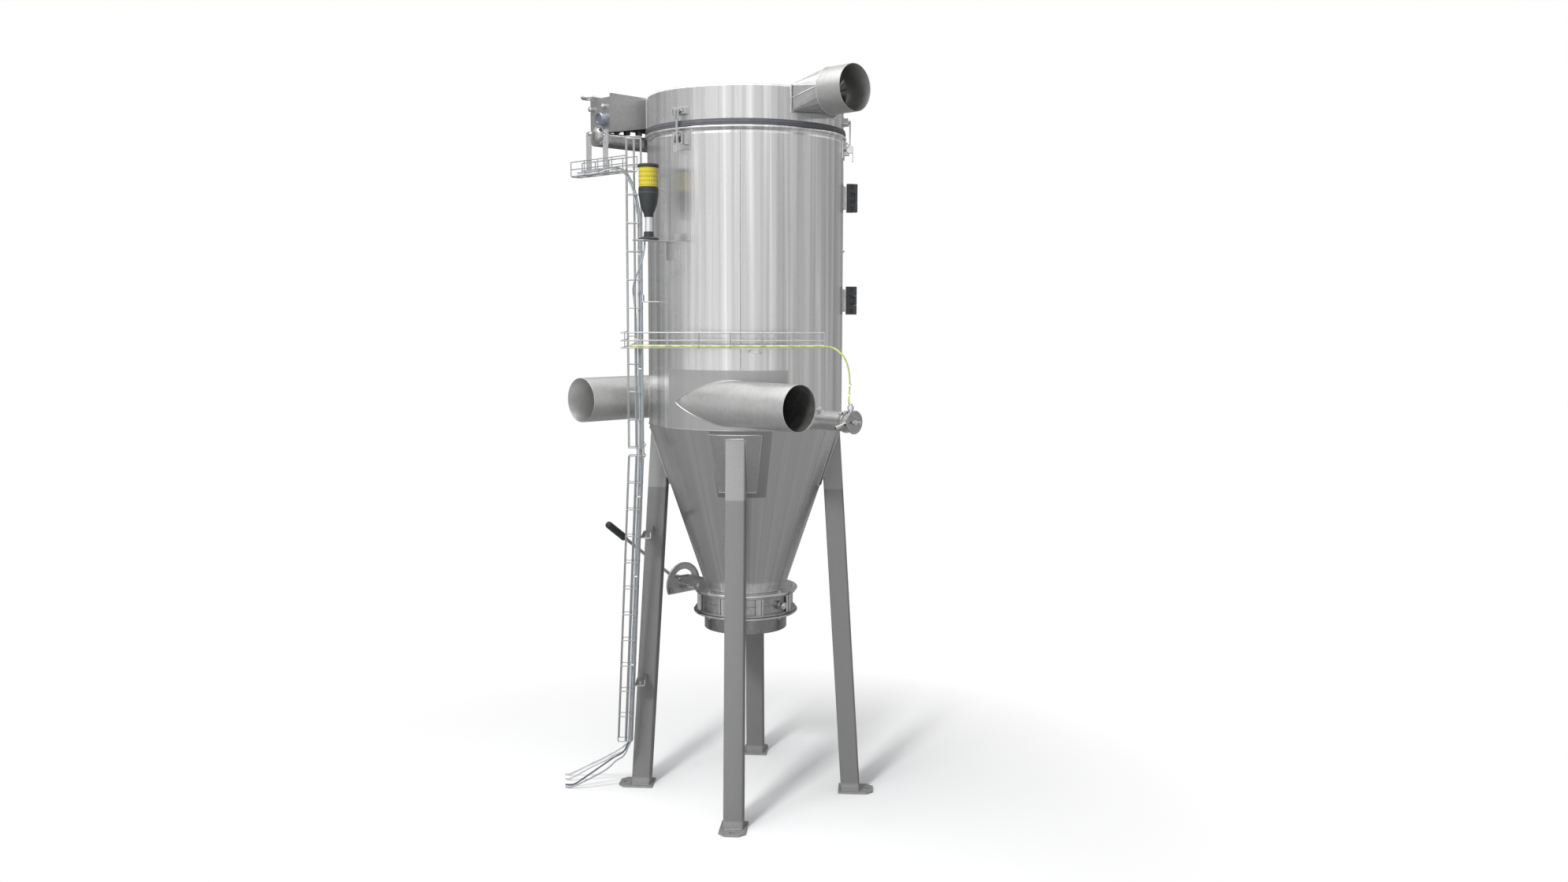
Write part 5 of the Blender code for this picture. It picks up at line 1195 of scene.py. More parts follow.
def filter_inside():
    Shape().lathe([(0.11, 2.425), (R - WALL - GAP, 2.425), (R - WALL - GAP, 2.429), (0.11, 2.429)],
                  steps=128).piece("tube_plate", "plate", replaces=["tube_sheet"])
    shape = Shape()
    (low_out, low_in), (top_out, top_in) = pleat_ring(shape, 1.781), pleat_ring(shape, 2.409)
    for k in range(PLEATS * 2):
        m = (k + 1) % (PLEATS * 2)
        for a, b in ((low_out, top_out), (top_out, top_in), (top_in, low_in), (low_in, low_out)):
            shape.bm.faces.new((a[k], a[m], b[m], b[k]))
    shape.piece("filter_pleats", "felt", replaces=["filter_cartridge"], sharp=20)
    caps = Shape()
    caps.lathe([(0.012, 1.76), (0.13, 1.76), (0.13, 1.78), (0.128, 1.782), (0.012, 1.782)], steps=96)
    caps.lathe([(0.085, 2.408), (0.1075, 2.408), (0.1075, 2.4293), (0.135, 2.4293), (0.135, 2.4413),
                (0.085, 2.4413)], steps=96)
    caps.piece("filter_caps", "black", bevel=0.0008)
    out, beside, level = bearing(UNIT), bearing(UNIT - 90), lift(PIPE_Z)
    start = out * 0.3 + beside * PIPE_OFFSET + level
    route = [start, start - out * 0.04, start - out * 0.1, start - out * 0.135,
             out * 0.12 + beside * PIPE_OFFSET * 0.94 + level,
             out * 0.075 + beside * PIPE_OFFSET * 0.72 + level,
             out * 0.01 + beside * 0.05 + level, level - lift(0.012), lift(2.5), lift(2.47)]
    Shape().bar(smooth(route, 90), PIPE_R, 24).piece("pulse_pipe", "fitting", replaces=["blow_pipe"])


# ---------------------------------------------------------------- service door
KNUCKLE = 0.165                # half length of the middle knuckle, as a share of the hinge
DOOR_T = 0.004
DOOR_FROM, DOOR_TO = 100, 152  # bearings of the door's edges
HANDLE_HALF = 0.0605


def hinge_half(tag, kind, side, body, spans, place):
    """Plate with its screws and screw pockets, black sheets on the pocket floors as painted shade, and the
    knuckles at the given heights.
    """
    name = f"{tag}_hinge_{kind}"
    leaf = Shape().box((0.0265, 0.0065, HINGE_H), (0.38825, side * 0.0098, 0), place)
    recesses, painted_pocket_shade = [], Shape()
    for z in between(-0.375 * HINGE_H, 0.375 * HINGE_H, 3):
        # Painted shade: a black sheet at the bottom of each pocket, where the cavity lies in shade.
        painted_pocket_shade.box((0.0106, 0.0008, 0.0131), (0.3935, side * 0.011, z), place)
        recesses.append(Shape().box((0.011, 0.006, 0.0135), (0.3935, side * 0.0135, z), place))
    leaf.piece(name + "_plate", "hinge", body, [name], cutters=recesses, bevel=0.001)
    painted_pocket_shade.piece(name + "_pocket_shade", "black", body)
    knuckles = Shape()
    for low, high in spans:
        knuckles.box((0.012, 0.0115, high - low - 0.001), (0.4035, side * 0.00525, (low + high) / 2), place)
        knuckles.rod(0.0079, (HINGE_PIN_AT, 0, low + 0.0002), (HINGE_PIN_AT, 0, high - 0.0002), place, 40)
    knuckles.piece(name + "_knuckles", "hinge", body, bevel=0.001)
    screws = Shape()
    for level in (-0.039, 0.039):
        head = place @ at(0.3865, side * 0.013, level) @ Matrix.Rotation(math.radians(-90 * side), 4, "X")
        screws.rod(0.0045, (0, 0, -0.002), (0, 0, 0.0006), head, 20)
    screws.piece(name + "_screws", "hinge", body)


def hinge(tag, level):
    place = spot(HINGE_BEARING, z=level)
    half, knuckle, rise, pin = HINGE_H / 2, KNUCKLE * HINGE_H, HINGE_H * 0.4, HINGE_H / 2 + 0.0008
    hinge_half(tag, "base", -1, "vessel", ((-half, -knuckle), (knuckle, half)), place)
    hinge_half(tag, "leaf", 1, "door", ((GAP - knuckle, knuckle - GAP),), place)
    Shape().rod(0.003, (HINGE_PIN_AT, 0, -pin), (HINGE_PIN_AT, 0, pin), place, 20).piece(
        f"{tag}_hinge_pin", "bright")
    angle = Shape().lathe([(R + GAP, -rise), (R + 0.0038, -rise), (R + 0.0038, rise), (R + GAP, rise)],
                          place, 12, 9.9, -10.2)
    angle.box((0.0372, 0.004, 2 * rise), (0.3789, -0.0042, 0), place)
    angle.piece(f"{tag}_hinge_angle", "fitting", bevel=0.0008)
    flange = Shape().box((0.0355, 0.004, 2 * rise), (0.37985, 0.0042, 0), place)
    flange.box((0.0045, 0.06, 2 * rise), (0.3634, 0.0322, 0), place)
    flange.piece(f"{tag}_door_angle", "fitting", "door", bevel=0.001, cutters=[core(R + GAP)])


def door():
    inner, skin, edge = R + GAP, R + GAP + DOOR_T, 0.001
    panel = Shape().lathe([(inner, DOOR_LOW), (skin - edge, DOOR_LOW), (skin, DOOR_LOW + edge),
                           (skin, DOOR_HIGH - edge), (skin - edge, DOOR_HIGH), (inner, DOOR_HIGH)],
                          steps=80, sweep=DOOR_TO - DOOR_FROM, start=DOOR_FROM - 90)
    panel.piece("door_panel", "vessel", "door", ["service_door"], sharp=25)
    rib, low, high = Shape(), DOOR_LOW + 0.022, DOOR_HIGH - 0.022
    for z in (low, high):
        rib.bar([bearing(degrees) * (skin - 0.0004) + lift(z) for degrees in between(102, 150, 60)], 0.003)
    for degrees in (102, 150):
        rib.bar([bearing(degrees) * (skin - 0.0004) + lift(z) for z in between(low, high, 40)], 0.003)
    rib.piece("door_bead", "vessel", "door")
    place = spot(146, z=(DOOR_LOW + DOOR_HIGH) / 2)
    half = [(0, HANDLE_HALF), (0.02, HANDLE_HALF), (0.031, 0.0575), (0.036, 0.048)]
    route = [(skin + out, 0, -z) for out, z in half] + [(skin + 0.036, 0, 0)]
    route += [(skin + out, 0, z) for out, z in reversed(half)]
    bow = Shape().bar([place @ point for point in smooth(route, 60)], 0.0066, 20)
    for z in (-HANDLE_HALF, HANDLE_HALF):
        bow.axle(0.0125, skin, skin + 0.006, place, 32, 0, z)
    bow.piece("door_bow", "black", "door", ["door_handle"], bevel=0.001)
    for tag, level in HINGES:
        hinge(tag, level)


# ---------------------------------------------------------------- head clamps
PIVOT_R, PIVOT_Z, THROW, KEEPER_Z = 0.376, 2.428, 0.016, 2.505
PIN_R, PIN_BORE = 0.0025, 0.0028


def pin_hole(place, z):
    return Shape().rod(PIN_BORE, (0, -0.02, z), (0, 0.02, z), place, 20)


def on_vessel():
    """Cutter that leaves a plate bedded on the shell."""
    return core(R - 0.0004)


def clamp_base(tag, degrees):
    base = spot(degrees, z=PIVOT_Z)
    Shape().box((0.0052, 0.08, 0.066), (0.3603, 0, -0.015), base).piece(
        f"clamp_plate_{tag}", "plate", bevel=0.0009, cutters=[on_vessel()])
    Shape().box((0.019, 0.023, 0.04), (0.3705, 0.0255, -0.012), base).piece(
        f"clamp_block_{tag}", "plate", bevel=0.001,
        cutters=[on_vessel(), Shape().box((0.016, 0.011, 0.06), (0.3765, 0.0255, -0.008), base)])
    ears = Shape()
    pins = Shape().rod(PIN_R, (PIVOT_R, -0.0125, 0), (PIVOT_R, 0.0125, 0), base, 20)
    for side in (-1, 1):
        ears.plate([(0.36, -0.016), (0.374, -0.013), *arc(0.3755, 0, 0.0075, -75, 75, 10), (0.374, 0.012),
                    (0.36, 0.015)], 0.003, base @ at(0, side * 0.0101) @ STAND_Y)
        pins.rod(0.0045, (PIVOT_R, side * 0.0116, 0), (PIVOT_R, side * 0.0134, 0), base, 24)
    ears.piece(f"clamp_ears_{tag}", "fitting", bevel=0.0005)
    pins.piece(f"clamp_pin_{tag}", "bright")


def clamp_keeper(tag, degrees):
    keep = spot(degrees, z=KEEPER_Z)
    keeper = Shape().box((0.0055, 0.067, 0.027), (0.3612, 0, 0.0085), keep)
    keeper.box((0.018, 0.064, 0.0036), (0.369, 0, -0.0022), keep)
    keeper.piece(f"clamp_keeper_{tag}", "plate", bevel=0.0008,
                 cutters=[on_vessel(), Shape().box((0.05, 0.0095, 0.02), (0.383, 0, -0.002), keep)])
    cheeks, rooms = Shape(), [on_vessel()]
    for side in (-0.0235, 0.0235):
        cheeks.box((0.0165, 0.016, 0.019), (0.37, side, 0.009), keep)
        rooms.append(Shape().box((0.012, 0.008, 0.03), (0.3765, side, 0.009), keep))
    cheeks.piece(f"keeper_blocks_{tag}", "plate", bevel=0.001, cutters=rooms)


def clamp_lever(tag, place):
    body = f"clamp_{tag}_lever"
    slot = Shape().box((0.012, 0.009, 0.044), (0.0185, 0, -0.014), place)
    half = [(0.0083, -0.002), (0.0083, -0.046), (0.0072, -0.056), (0.0045, -0.059)]
    Shape().plate([(-x, z) for x, z in half] + half[::-1], 0.003, place @ at(0.0185) @ FACING).piece(
        f"lever_tongue_{tag}", "bright", body, [f"clamp_lever_{tag}"], cutters=[slot], bevel=0.0007)
    cheeks = Shape()
    for side in (-0.0068, 0.0068):
        cheeks.plate([*arc(0, 0, 0.0064, 60, 200, 10), (-0.003, -0.02), (0.004, -0.0255), (0.0195, -0.0255),
                      (0.0195, -0.003), (0.01, 0.002)], 0.0027, place @ at(0, side) @ STAND_Y)
    cheeks.piece(f"lever_cheeks_{tag}", "bright", body, bevel=0.0004, cutters=[pin_hole(place, 0)])
    Shape().rod(PIN_R, (0, -0.0084, -THROW), (0, 0.0084, -THROW), place, 20).piece(
        f"lever_pin_{tag}", "bright", body)


def clamp_hook(tag, place):
    body = f"clamp_{tag}_hook"
    reach = KEEPER_Z - PIVOT_Z
    hook = Shape().plate([(0.0005, -0.02), (0.008, -0.02), (0.0108, -0.017), (0.0108, reach + 0.009),
                          (0.0088, reach + 0.0118), (-0.002, reach + 0.0118), (-0.005, reach + 0.009),
                          (-0.005, reach + 0.0004), (0.0058, reach + 0.0004), (0.0058, -0.013),
                          (0.0005, -0.012)], 0.008, place @ STAND_Y)
    hook.box((0.005, 0.016, 0.036), (0.0083, 0, reach - 0.0055), place)
    hook.piece(f"hook_strap_{tag}", "plate", body, [f"clamp_hook_{tag}"], bevel=0.0007,
               cutters=[pin_hole(place, -THROW)])
    eye = Shape().rod(0.0048, (0, -0.004, -THROW), (0, 0.004, -THROW), place, 32)
    eye.box((0.015, 0.0215, 0.006), (0.0032, 0, reach + 0.0038), place)
    eye.piece(f"hook_claw_{tag}", "fitting", body, bevel=0.0007, cutters=[pin_hole(place, -THROW)])


def clamps():
    for tag, degrees in CLAMPS:
        clamp_base(tag, degrees)
        clamp_keeper(tag, degrees)
        place = spot(degrees, PIVOT_R, PIVOT_Z)
        clamp_lever(tag, place)
        clamp_hook(tag, place)


# ---------------------------------------------------------------- beacon
LENS_H, LENS_BASE = 0.067, 0.18


def beacon_mount():
    shelf = Shape().plate([(0.345, -0.028), (0.512, -0.028), (0.525, -0.016), (0.525, 0.016), (0.512, 0.028),
                           (0.345, 0.028)], 0.003, spot(BEACON_BEARING) @ at(0, 0, BEACON_Z - 0.0018))
    shelf.piece("beacon_shelf", "plate", replaces=["beacon_bracket"], bevel=0.0005, cutters=[core(R + 0.0002)])
    skirt = Shape()
    for low, high, thick, sweep, first in ((-0.066, 0, 0.0034, 9.0, -4.5), (0, 0.026, 0.003, 12.0, 2.0)):
        skirt.lathe([(R + 0.0002, BEACON_Z + low), (R + thick, BEACON_Z + low), (R + thick, BEACON_Z + high),
                     (R + 0.0002, BEACON_Z + high)], steps=20, sweep=sweep, start=BEACON_BEARING + first - 90)
    skirt.piece("beacon_leaf", "plate", bevel=0.0006)


def turned_on(place, base, profile, name, finish, steps=96, **options):
    """Lathe piece with its profile's heights counted from a base."""
    Shape().lathe([(radius, base + z) for radius, z in profile], place, steps).piece(name, finish, **options)


def beacon():
    beacon_mount()
    column, base = spot(BEACON_BEARING, BEACON_AT), BEACON_Z + GAP
    turned_on(column, base, [
        (0, 0), (0.0345, 0), (0.035, 0.0015), (0.0345, 0.005), (0.03, 0.0085), (0.0185, 0.012),
        (0.0172, 0.015), (0.017, 0.026), (0.016, 0.0285), (0, 0.0285)],
        "beacon_foot", "black", steps=64, replaces=["beacon_stand"])
    turned_on(column, base, [(0, 0.028), (0.0124, 0.028), (0.0124, 0.078), (0, 0.078)],
              "beacon_tube", "tube", steps=64)
    low, lens = base + 0.078 + GAP, BEACON_Z + LENS_BASE
    housing = [(0, low), (0.015, low), (0.0157, low + 0.0015), (0.0165, low + 0.01), (0.0225, low + 0.023),
               (0.0285, low + 0.04), (0.0325, lens - 0.036), (0.0345, lens - 0.024), (0.0345, lens - 0.0045),
               (0.0338, lens - 0.004), (0.0338, lens - 0.0015), (0.033, lens - 0.0005), (0, lens - 0.0005)]
    turned_on(column, 0, housing, "beacon_housing", "black", replaces=["beacon_base"])
    turned_on(column, lens, [(0.0346, -0.0205), (0.035, -0.02), (0.035, -0.0185), (0.0346, -0.018),
                             (0.033, -0.018), (0.033, -0.0205)], "beacon_line", "hinge")
    glass = [(0, 0)]
    for z0 in (0, LENS_H / 2):
        glass += [(0.0322, z0), (0.0334, z0 + 0.0012)]
        for z in between(z0 + 0.0022, z0 + 0.0022 + 5 * 0.0049, 5):
            glass += [(0.0335, z), (0.0327, z + 0.0024)]
        glass += [(0.0334, z0 + 0.0318), (0.0322, z0 + 0.033)]
    turned_on(column, lens, [*glass, (0, LENS_H)], "beacon_glass", "lens", replaces=["beacon_lens"], sharp=50)
    turned_on(column, lens + LENS_H + GAP, [
        (0, 0), (0.0355, 0), (0.0365, 0.001), (0.0365, 0.0075), (0.035, 0.01), (0.0315, 0.011), (0, 0.011)],
        "beacon_lid", "black", replaces=["beacon_cap"])


# ---------------------------------------------------------------- cleaning unit
UNIT_NEAR, UNIT_FAR, UNIT_END, UNIT_TOP, UNIT_LOW = 0.225, 0.34, 0.449, 2.596, 2.4875
UNIT_W, UNIT_MID = UNIT_FAR - UNIT_NEAR, (UNIT_NEAR + UNIT_FAR) / 2
TANK_LOW, TANK_TOP = 2.418, 2.4565


def unit(out, beside, z):
    """Place on the cleaning unit: X outwards along it, Y towards its near side, Z up."""
    return spot(UNIT, out, z, -beside)


def unit_cover():
    face = unit(0, UNIT_MID, 0) @ STAND_Y
    front, back = UNIT_END - 0.0025, 0.02
    outline = [(0.08, UNIT_LOW), (0.281, UNIT_LOW), (UNIT_END, 2.459), (UNIT_END, UNIT_TOP), (0.08, UNIT_TOP)]
    inside = Shape().plate([(back, 2.4), (front, 2.4), (front, 2.65), (back, 2.65)], UNIT_W - 0.005, face)
    step = Shape().box((0.1, UNIT_W - 0.005, 0.06), (0, 0, 0.03), unit(UNIT_END, UNIT_MID, UNIT_TOP - 0.0125))
    slant = Shape().plate([(UNIT_END + 0.002, UNIT_TOP - 0.002), (UNIT_END + 0.002, UNIT_TOP + 0.01),
                           (UNIT_END - 0.02, UNIT_TOP + 0.01)], 0.2, face)
    Shape().plate(outline, UNIT_W, face).piece("unit_cover", "unit", replaces=["cleaning_housing"], sharp=20,
                                               bevel=0.0008, cutters=[inside, step, slant, core(R + GAP)])
    corner = unit(UNIT_END, UNIT_MID, UNIT_TOP)
    lid = Shape().box((0.3, UNIT_W - 0.006, 0.0022), (-0.152, 0, -0.0136), corner)
    lid.box((0.0022, UNIT_W - 0.006, 0.016), (-0.0038, 0, -0.02), corner)
    lid.piece("unit_lid", "unit", cutters=[core(R + GAP)], bevel=0.0005)
    foot = bearing(UNIT) * math.sqrt((R + 0.0015) ** 2 - UNIT_NEAR ** 2) + bearing(UNIT - 90) * UNIT_NEAR
    Shape().bar([foot + lift(z) for z in between(UNIT_LOW, UNIT_TOP, 40)], 0.0028, 6).piece("unit_weld", "weld")


def unit_front():
    """Coupling, screws, lifting eye and pulse valve on the unit's end face."""
    Shape().lathe([(0, 0), (0.025, 0), (0.025, 0.0035), (0.0225, 0.004), (0.0222, 0.025), (0.0205, 0.0278),
                   (0.0165, 0.028), (0.016, 0.0235), (0, 0.0235)], unit(UNIT_END, 0.258, 2.506) @ FLAT_X,
                  64).piece("air_coupling", "blue_steel")
    knobs = Shape()
    collar, head, tip = (0.0075, 0, 0.005, 24), (0.0095, 0.005, 0.0125, 6), (0.004, 0.012, 0.016, 16)
    for beside, z in ((0.33, 2.548), (0.332, 2.462), (0.258, 2.552)):
        for radius, low, high, sides in (collar, head, tip):
            knobs.rod(radius, (0, 0, low), (0, 0, high), unit(UNIT_END, beside, z) @ FLAT_X, sides)
    knobs.piece("unit_screws", "bright", bevel=0.0008)
    ring = unit(UNIT_END + 0.01, UNIT_FAR - 0.006, UNIT_TOP - 0.0072)
    eye = Shape().bar([ring @ Vector((x, y, 0)) for x, y in circle(0.024, 72)], 0.006, 14, closed=True)
    eye.rod(0.007, (-0.028, 0, -0.002), (-0.018, 0, 0), ring, 20)
    eye.piece("lifting_eye", "bright")
    hub = unit(UNIT_END, 0.291, 2.453) @ FLAT_X
    Shape().lathe([(0, -0.004), (0.0345, -0.004), (0.0345, 0.003), (0.0325, 0.004), (0.029, 0.004),
                   (0.026, 0.013), (0.02, 0.018), (0.011, 0.021), (0, 0.0215)], hub, 72).piece(
        "pulse_valve", "fitting")
    rim = Shape()
    for x, y in arc(0, 0, 0.0312, 30, 330, 5):
        rim.rod(0.0028, (x, y, 0.002), (x, y, 0.0075), hub, 6)
    rim.piece("pulse_valve_screws", "bright")


def cleaning_unit():
    unit_cover()
    unit_front()
    outline = rounded_rectangle(TANK_TOP - TANK_LOW, UNIT_W - 0.006, 0.011)
    place = unit(UNIT_END - 0.15, UNIT_MID, (TANK_LOW + TANK_TOP) / 2) @ FLAT_X
    Shape().plate(outline, 0.3, place).piece("air_vessel", "fitting", replaces=["air_tank"], bevel=0.0025,
                                               cutters=[core(0.37 + GAP)])
    pipes = Shape()
    for out, beside in ((0.4, 0.252), (0.345, 0.262), (0.3, 0.25)):
        pipes.rod(0.0085, (0, 0, 2.455), (0, 0, 2.492), unit(out, beside, 0), 20)
        pipes.rod(0.0125, (0, 0, 2.462), (0, 0, 2.476), unit(out, beside, 0), 6)
    pipes.piece("tank_pipes", "hinge", bevel=0.0006)


# ---------------------------------------------------------------- cable trays
TRAY = Matrix.Rotation(math.radians(TRAY_BEARING), 4, "Z")
TURN = TRAY.to_3x3()
HALF = TRAY_W / 2
SIDE_X, SIDE_Y, SIDE_LOW, SIDE_TOP = -0.371, -0.157, 1.335, 2.44
MIDDLE_Y, MIDDLE_Z, MIDDLE_LEFT, MIDDLE_RIGHT = -0.43, 1.701, -0.398, 0.268
SIDE_SECTION = ((-TRAY_H, -HALF, 0), (0, -HALF, 0), (0, HALF, 0), (-TRAY_H, HALF, 0))
LEG_TRAY_TOP, LEG_TRAY_LOW = Vector((-0.371, -0.157, 1.305)), Vector((-0.429, -0.055, 0.21))
HANGING_OUT, HANGING_Z, HANGING_FROM, HANGING_TO = 0.455, 2.313, 0.1, 0.42
LONG_WIRES = ((0, 0, 0), (0, 1, 0.52), (1, 1, 0), (1, 2, 0.5), (2, 2, 0), (2, 3, 0.48), (3, 3, 0))


def along(start, end, section):
    """The section's corners at each rung between two places."""
    start, end = Vector(start), Vector(end)
    count = max(1, round((end - start).length / TRAY_PITCH))
    return [[point + Vector(corner) for corner in section] for point in between(start, end, count)]


def turned(stations):
    return [[TURN @ Vector(corner) for corner in station] for station in stations]


def rounded_corner(a, b, c, radius, steps=4):
    """Points that round the corner b between a and c."""
    first = b + (a - b).normalized() * radius
    last = b + (c - b).normalized() * radius
    return [first.lerp(b, t).lerp(b.lerp(last, t), t) for t in between(0, 1, steps)]


def wire_tray(stations, name, node, skip=None):
    """Welded wire channel: seven long wires and a bent rung at each station but the skipped one."""
    shape = Shape()
    for a, b, share in LONG_WIRES:
        inset = []
        for station in stations:
            point, middle = station[a].lerp(station[b], share), sum(station, Vector()) / 4
            inset.append(point + (middle - point).normalized() * WIRE_R)
        shape.bar(inset, WIRE_R)
    for index, (a, b, c, d) in enumerate(stations):
        if index != skip:
            shape.bar([a, *rounded_corner(a, b, c, 0.007), *rounded_corner(b, c, d, 0.007), d], WIRE_R)
    shape.piece(name, "wire", replaces=[node])


def riser_tray():
    stations = turned(along((SIDE_X, SIDE_Y, SIDE_LOW), (SIDE_X, SIDE_Y, SIDE_TOP), SIDE_SECTION))
    wire_tray(stations, "riser_tray", "side_tray")
    arms = Shape()
    for level in (1.86, 2.26):
        arms.box((0.1, TRAY_W + 0.006, 0.004), (SIDE_X + 0.049, SIDE_Y, level), TRAY)
        arms.box((0.004, TRAY_W + 0.004, 0.026), (SIDE_X + 0.003, SIDE_Y, level + 0.011), TRAY)
        arms.bolt(TRAY @ at(SIDE_X + 0.0005, SIDE_Y, level + 0.014) @ FLAT_X @ UPSIDE_DOWN, 0.005, 0.004)
    arms.piece("riser_tray_arms", "plate", bevel=0.0004, cutters=[core(R + GAP)])


def middle_tray():
    """Tray that leaves the riser, turns a corner and crosses the front."""
    run_x = ((0, -HALF, TRAY_H), (0, -HALF, 0), (0, HALF, 0), (0, HALF, TRAY_H))
    run_y = [(y, x, z) for x, y, z in run_x]
    corner = [Vector((MIDDLE_LEFT + y, MIDDLE_Y + y, MIDDLE_Z + z)) for _, y, z in run_x]
    back_end = SIDE_Y - HALF
    back = along((MIDDLE_LEFT, back_end - 0.006, MIDDLE_Z), (MIDDLE_LEFT, MIDDLE_Y + HALF, MIDDLE_Z), run_y)
    front = along((MIDDLE_LEFT + HALF, MIDDLE_Y, MIDDLE_Z), (MIDDLE_RIGHT, MIDDLE_Y, MIDDLE_Z), run_x)
    wire_tray(turned(back[:-1] + [corner] + front[1:]), "round_tray", "middle_tray", skip=len(back) - 1)
    ends = Shape()
    ends.box((0.034, 0.075, 0.004), (0, MIDDLE_Y + 0.04, MIDDLE_Z - 0.0035), TRAY)
    ends.box((0.03, 0.024, 0.018), (0.03, MIDDLE_Y + 0.062, MIDDLE_Z - 0.01), TRAY)
    ends.bolt(TRAY @ at(0.01, MIDDLE_Y + 0.014, MIDDLE_Z - 0.0055) @ UPSIDE_DOWN)
    ends.bolt(TRAY @ at(0.05, MIDDLE_Y + 0.05, MIDDLE_Z - 0.014) @ UPSIDE_DOWN, 0.005)
    ends.box((0.02, 0.026, 0.004), (MIDDLE_LEFT - 0.005, back_end - 0.0155, MIDDLE_Z - 0.0035), TRAY)
    ends.box((0.026, 0.006, 0.024), (MIDDLE_LEFT + 0.012, back_end - 0.0035, MIDDLE_Z + 0.018), TRAY)
    ends.bolt(TRAY @ at(MIDDLE_LEFT + 0.012, back_end - 0.0065, MIDDLE_Z + 0.02) @ STAND_Y, 0.0055)
    ends.piece("round_tray_ties", "plate", bevel=0.0006, cutters=[core(R + GAP)])


def tray_splice():
    """Plate that ties the leg tray to the foot of the riser."""
    splice = Shape().box((0.004, TRAY_W - 0.004, 0.06), (SIDE_X - 0.0005, SIDE_Y, SIDE_LOW - 0.012), TRAY)
    for rise in (-0.03, 0.008):
        for side in (-0.01, 0.012):
            splice.bolt(TRAY @ at(SIDE_X + 0.0015, SIDE_Y + side, SIDE_LOW + rise) @ FLAT_X, 0.0052, 0.004)
    splice.piece("tray_splice", "plate", bevel=0.0004)


def leg_tray():
    wire_tray(turned(along(LEG_TRAY_TOP, LEG_TRAY_LOW, SIDE_SECTION)), "leg_wire_tray", "leg_tray")
    braces = Shape()
    for share in (0.28, 0.8):
        place = TRAY @ at(*LEG_TRAY_TOP.lerp(LEG_TRAY_LOW, share))
        braces.box((0.038, 0.24, 0.004), (0.021, 0.1, 0), place)
        braces.box((0.004, 0.24, 0.02), (0.0385, 0.1, 0.01), place)
        braces.bolt(place @ at(0.02, 0.01, 0.002), 0.0055, 0.004)
    braces.piece("leg_tray_braces", "plate", bevel=0.0004,
                 cutters=[Shape().box((2, 1, 3), (0, 0.5 - LEG_SIZE / 2 - GAP, 1))])


def unit_tray():
    """Tray that hangs from the cleaning unit on two slotted bars."""
    stations = [[unit(HANGING_OUT + out, beside, HANGING_Z + rise).translation
                 for out, rise in ((-HALF, TRAY_H), (-HALF, 0), (HALF, 0), (HALF, TRAY_H))]
                for beside in between(HANGING_FROM, HANGING_TO, 4)]
    wire_tray(stations, "unit_tray", "upper_tray")
    bars, holes = Shape(), []
    for beside in (0.252, 0.35):
        place = unit(UNIT_END + GAP + 0.0015, beside, HANGING_Z + 0.078) @ FLAT_X
        bars.plate(rounded_rectangle(0.16, 0.028, 0.0035), 0.003, place)
        holes += [Shape().rod(0.0033, (rise, 0, -0.01), (rise, 0, 0.01), place, 16)
                  for rise in (-0.064, -0.034, 0.034, 0.06)]
    bars.piece("tray_hangers", "tube", bevel=0.0005, cutters=holes)


# ---------------------------------------------------------------- sensor
SENSOR_Z, SENSOR_REACH, SENSOR_R = 1.445, 0.549, 0.0345


def sensor():
    reach, radius = SENSOR_REACH, SENSOR_R
    place = spot(PORT, z=SENSOR_Z)
    collar, neck = radius + 0.0012, 0.0265
    profile = [(0, R - 0.002 - reach), (radius, R - 0.002 - reach), (radius, -0.051), (collar, -0.05),
               (collar, -0.047), (0.033, -0.0465), (0.033, -0.0445), (0.0378, -0.044), (0.0385, -0.0425),
               (0.0385, -0.0335), (0.0378, -0.032), (0.028, -0.0315), (neck, -0.03), (neck, -0.006),
               (0.025, -0.0055), (0, -0.0055)]
    face = place @ at(reach) @ FLAT_X
    turned_on(face, 0, profile, "sensor_body", "duct", steps=72, replaces=["sensor_stub"],
              cutters=[core(R + GAP)])
    line = [place @ Vector((math.sqrt((R + 0.002) ** 2 - y * y), y, z)) for y, z in circle(radius, 90)]
    Shape().bar(line, 0.0024, 6, closed=True).piece("sensor_weld", "weld")
    sensor_glands(place @ at(reach))
    turned_on(face, 0, [(0, -0.005), (0.04, -0.005), (0.041, -0.004), (0.041, -0.002), (0.04, -0.001),
                        (0.034, -0.0008), (0.033, -0.0016), (0, -0.0016)],
              "sensor_lid", "fitting", body="sensor_cap", replaces=["sensor_cover"])
    end = place @ at(reach)
    knob = Shape().axle(0.0085, -0.002, 0.0045, end, 32)
    knob.box((0.007, 0.034, 0.0045), (0.0075, 0, 0), end)
    for side in (-0.015, 0.015):
        knob.axle(0.0052, 0.004, 0.011, end, 16, side)
    knob.piece("sensor_knob", "bright", "sensor_cap", bevel=0.0008)


